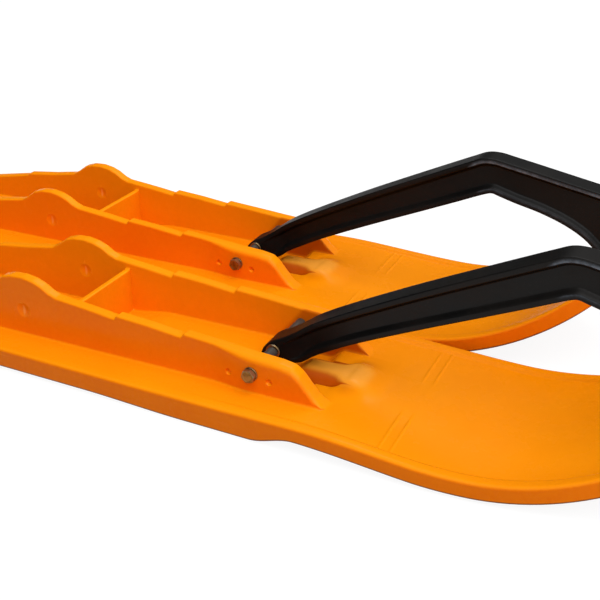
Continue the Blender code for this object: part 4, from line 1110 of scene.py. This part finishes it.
def dress(side, seed, moulding, handle):
    """Every piece of one ski. Gives back its origin."""
    low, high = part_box(side + "_ski_body")
    origin = Vector((low[0] - REAR_X, (low[1] + high[1]) / 2, low[2] + STAND_DEPTH))
    body = side + "_ski"
    orange = orange_plastic(side + "_orange", seed)
    black = black_nylon(side + "_black", seed + 20)
    zinc = zinc_steel(side + "_zinc", seed + 40)
    spacer_shade_steel = shade_dark_steel(side + "_spacer_shade_steel", seed + 50)
    steel = bar_steel(side + "_steel", seed + 60)

    def put(name, mesh, finish, slot, *nodes):
        """A piece in the place of CAD nodes, riding on their body."""
        obj = linked(name, mesh)
        obj.location = origin
        mesh.materials.clear()
        mesh.materials.append(finish)
        weighted = obj.modifiers.new("even_normals", "WEIGHTED_NORMAL")
        weighted.keep_sharp = True
        weighted.weight = 60
        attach(obj, body)
        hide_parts(*nodes)

    def add(name, shape, matrix=None, sharp=SHARP_ANGLE, finish=zinc, slot="zinc_plated_steel"):
        name = f"{side}_{name}"
        mesh = mesh_of(moved(shape, matrix or Matrix()), name, sharp)
        put(name + "_piece", mesh, finish, slot, name)

    put(side + "_moulding", moulding, orange, "orange_plastic", side + "_ski_body")
    put(side + "_handle", handle, black, "black_plastic", side + "_loop_handle")
    add("wear_bar", bar_shape(), finish=steel, slot="bar_steel")

    def on_bolt(y):
        return Matrix.Translation((LOOP_BOLT_X, y, LOOP_BOLT_HEIGHT)) @ turned(-90, "X")

    seat = PAD_FACE_Y + CLEARANCE
    past_washer = seat + WASHER_THICKNESS + CLEARANCE
    beside_toe = LOOP_TOE_WIDTH / 2 + CLEARANCE
    length = 2 * PAD_FACE_Y + 2 * WASHER_THICKNESS + 4 * CLEARANCE + NUT_REACH
    add("loop_bolt", hex_bolt_shape(length), on_bolt(-past_washer) @ turned(BOLT_TURN), HEX_SHARP_ANGLE)
    for name, y in (
        ("head_side", -seat - WASHER_THICKNESS),
        ("nut_side", seat),
        ("toe_right", -beside_toe - WASHER_THICKNESS),
        ("toe_left", beside_toe),
    ):
        add("loop_washer_" + name, washer_shape(), on_bolt(y))
    add("loop_nut", nut_shape(), on_bolt(past_washer) @ turned(BOLT_TURN), HEX_SHARP_ANGLE)
    sleeve = INNER_FACE_Y - LOOP_TOE_WIDTH / 2 - WASHER_THICKNESS - 3 * CLEARANCE
    for name, y in (
        ("right", CLEARANCE - INNER_FACE_Y),
        ("left", beside_toe + WASHER_THICKNESS + CLEARANCE),
    ):
        # The spacers' near-black colour is painted shade
        add("loop_spacer_" + name, spacer_shape(sleeve), on_bolt(y), finish=spacer_shade_steel)

    def washer_and_nut(kind, number, seat, turn):
        add(f"{kind}_washer_{number}", washer_shape(), seat)
        over = seat @ Matrix.Translation((0, 0, WASHER_THICKNESS + CLEARANCE)) @ turned(turn * number)
        add(f"{kind}_nut_{number}", nut_shape(), over, HEX_SHARP_ANGLE)

    tip_length = SLAB_THICKNESS + 4 * CLEARANCE + FOOT_PAD_THICKNESS + WASHER_THICKNESS + NUT_REACH
    pad_top = FOOT_PAD_THICKNESS + 2 * CLEARANCE
    offset = LOOP_WIDTH / 2 + WASHER_RADIUS + CLEARANCE
    for number, y in ((1, -offset), (2, offset)):
        under = on_tip(FOOT_PAD_X, y, -SLAB_THICKNESS - CLEARANCE)
        add(f"tip_bolt_{number}", dome_bolt_shape(tip_length), under)
        washer_and_nut("tip", number, on_tip(FOOT_PAD_X, y, pad_top), TIP_NUT_TURN)
    for number, x in enumerate(STUD_XS, 1):
        seat = Matrix.Translation((x, 0, floor_height(x) + CLEARANCE))
        washer_and_nut("stud", number, seat, STUD_NUT_TURN)
    return origin


def set_floor():
    """A wide pale floor, white to the camera and softer in what it throws back."""
    size = FLOOR_HALF_SIZE
    mesh = bpy.data.meshes.new("floor")
    corners = [(-size, -size, 0), (size, -size, 0), (size, size, 0), (-size, size, 0)]
    mesh.from_pydata(corners, [], [(0, 1, 2, 3)])
    floor = linked("floor", mesh)
    floor.location.z = -FLOOR_DROP
    look = Look("floor_paper")
    seen = look.rays("Camera", "Glossy", "Transmission")
    base = look.mix(seen, (0.32,) * 3, (0.14,) * 3)
    look.finish(Base_Color=base, Emission_Color=(1, 1, 1, 1), Emission_Strength=look.times(seen, 0.9))
    mesh.materials.append(look.finish(Roughness=0.9, Specular_IOR_Level=0))


def set_world():
    """Soft light from all round, stronger from above and in front; white where it is seen."""
    look = Look("studio", "worlds", "Background")
    bpy.context.scene.world = look.owner
    inputs = {0: look.coordinates("Generated"), 1: Vector(BRIGHT_SIDE).normalized()}
    facing = look.add("VectorMath", inputs, "Value", operation="DOT_PRODUCT")
    level = look.band(facing, -0.05, 1, 0.04, 1)
    inputs = {"Factor": look.rays("Camera", "Transmission"), "A": level, "B": 1}
    look.finish(Strength=look.add("Mix", inputs, "Result"), Color=(1, 1, 1, 1))


def area_light(name, place, target, size, power):
    """A soft square lamp."""
    data = bpy.data.lights.new(name, "AREA")
    data.size = size
    data.energy = power
    lamp = linked(name, data)
    lamp.location = place
    lamp.rotation_mode = "QUATERNION"
    lamp.rotation_quaternion = (Vector(target) - Vector(place)).to_track_quat("-Z", "Y")


def set_camera(origin):
    """The camera, where the photograph's perspective puts it from the right ski's origin."""
    data = bpy.data.cameras.new("camera")
    data.lens = CAMERA_LENS
    data.shift_x, data.shift_y = CAMERA_SHIFT
    data.clip_start = 0.01
    camera = linked("camera", data)
    tilt = turned(90 - CAMERA_ELEVATION, "X")
    place = Matrix.Translation(origin + Vector(CAMERA_PLACE))
    camera.matrix_world = place @ turned(CAMERA_AZIMUTH) @ tilt @ turned(CAMERA_ROLL)
    bpy.context.scene.camera = camera


body_shape = body_mesh()
handle_shape = handle_mesh()
right_origin = dress("right", 1.7, body_shape.copy(), handle_shape.copy())
dress("left", 8.3, body_shape.copy(), handle_shape.copy())
set_floor()
set_world()
for lamp in LAMPS:
    area_light(*lamp)
set_camera(right_origin)
bpy.context.scene.view_settings.view_transform = "Standard"
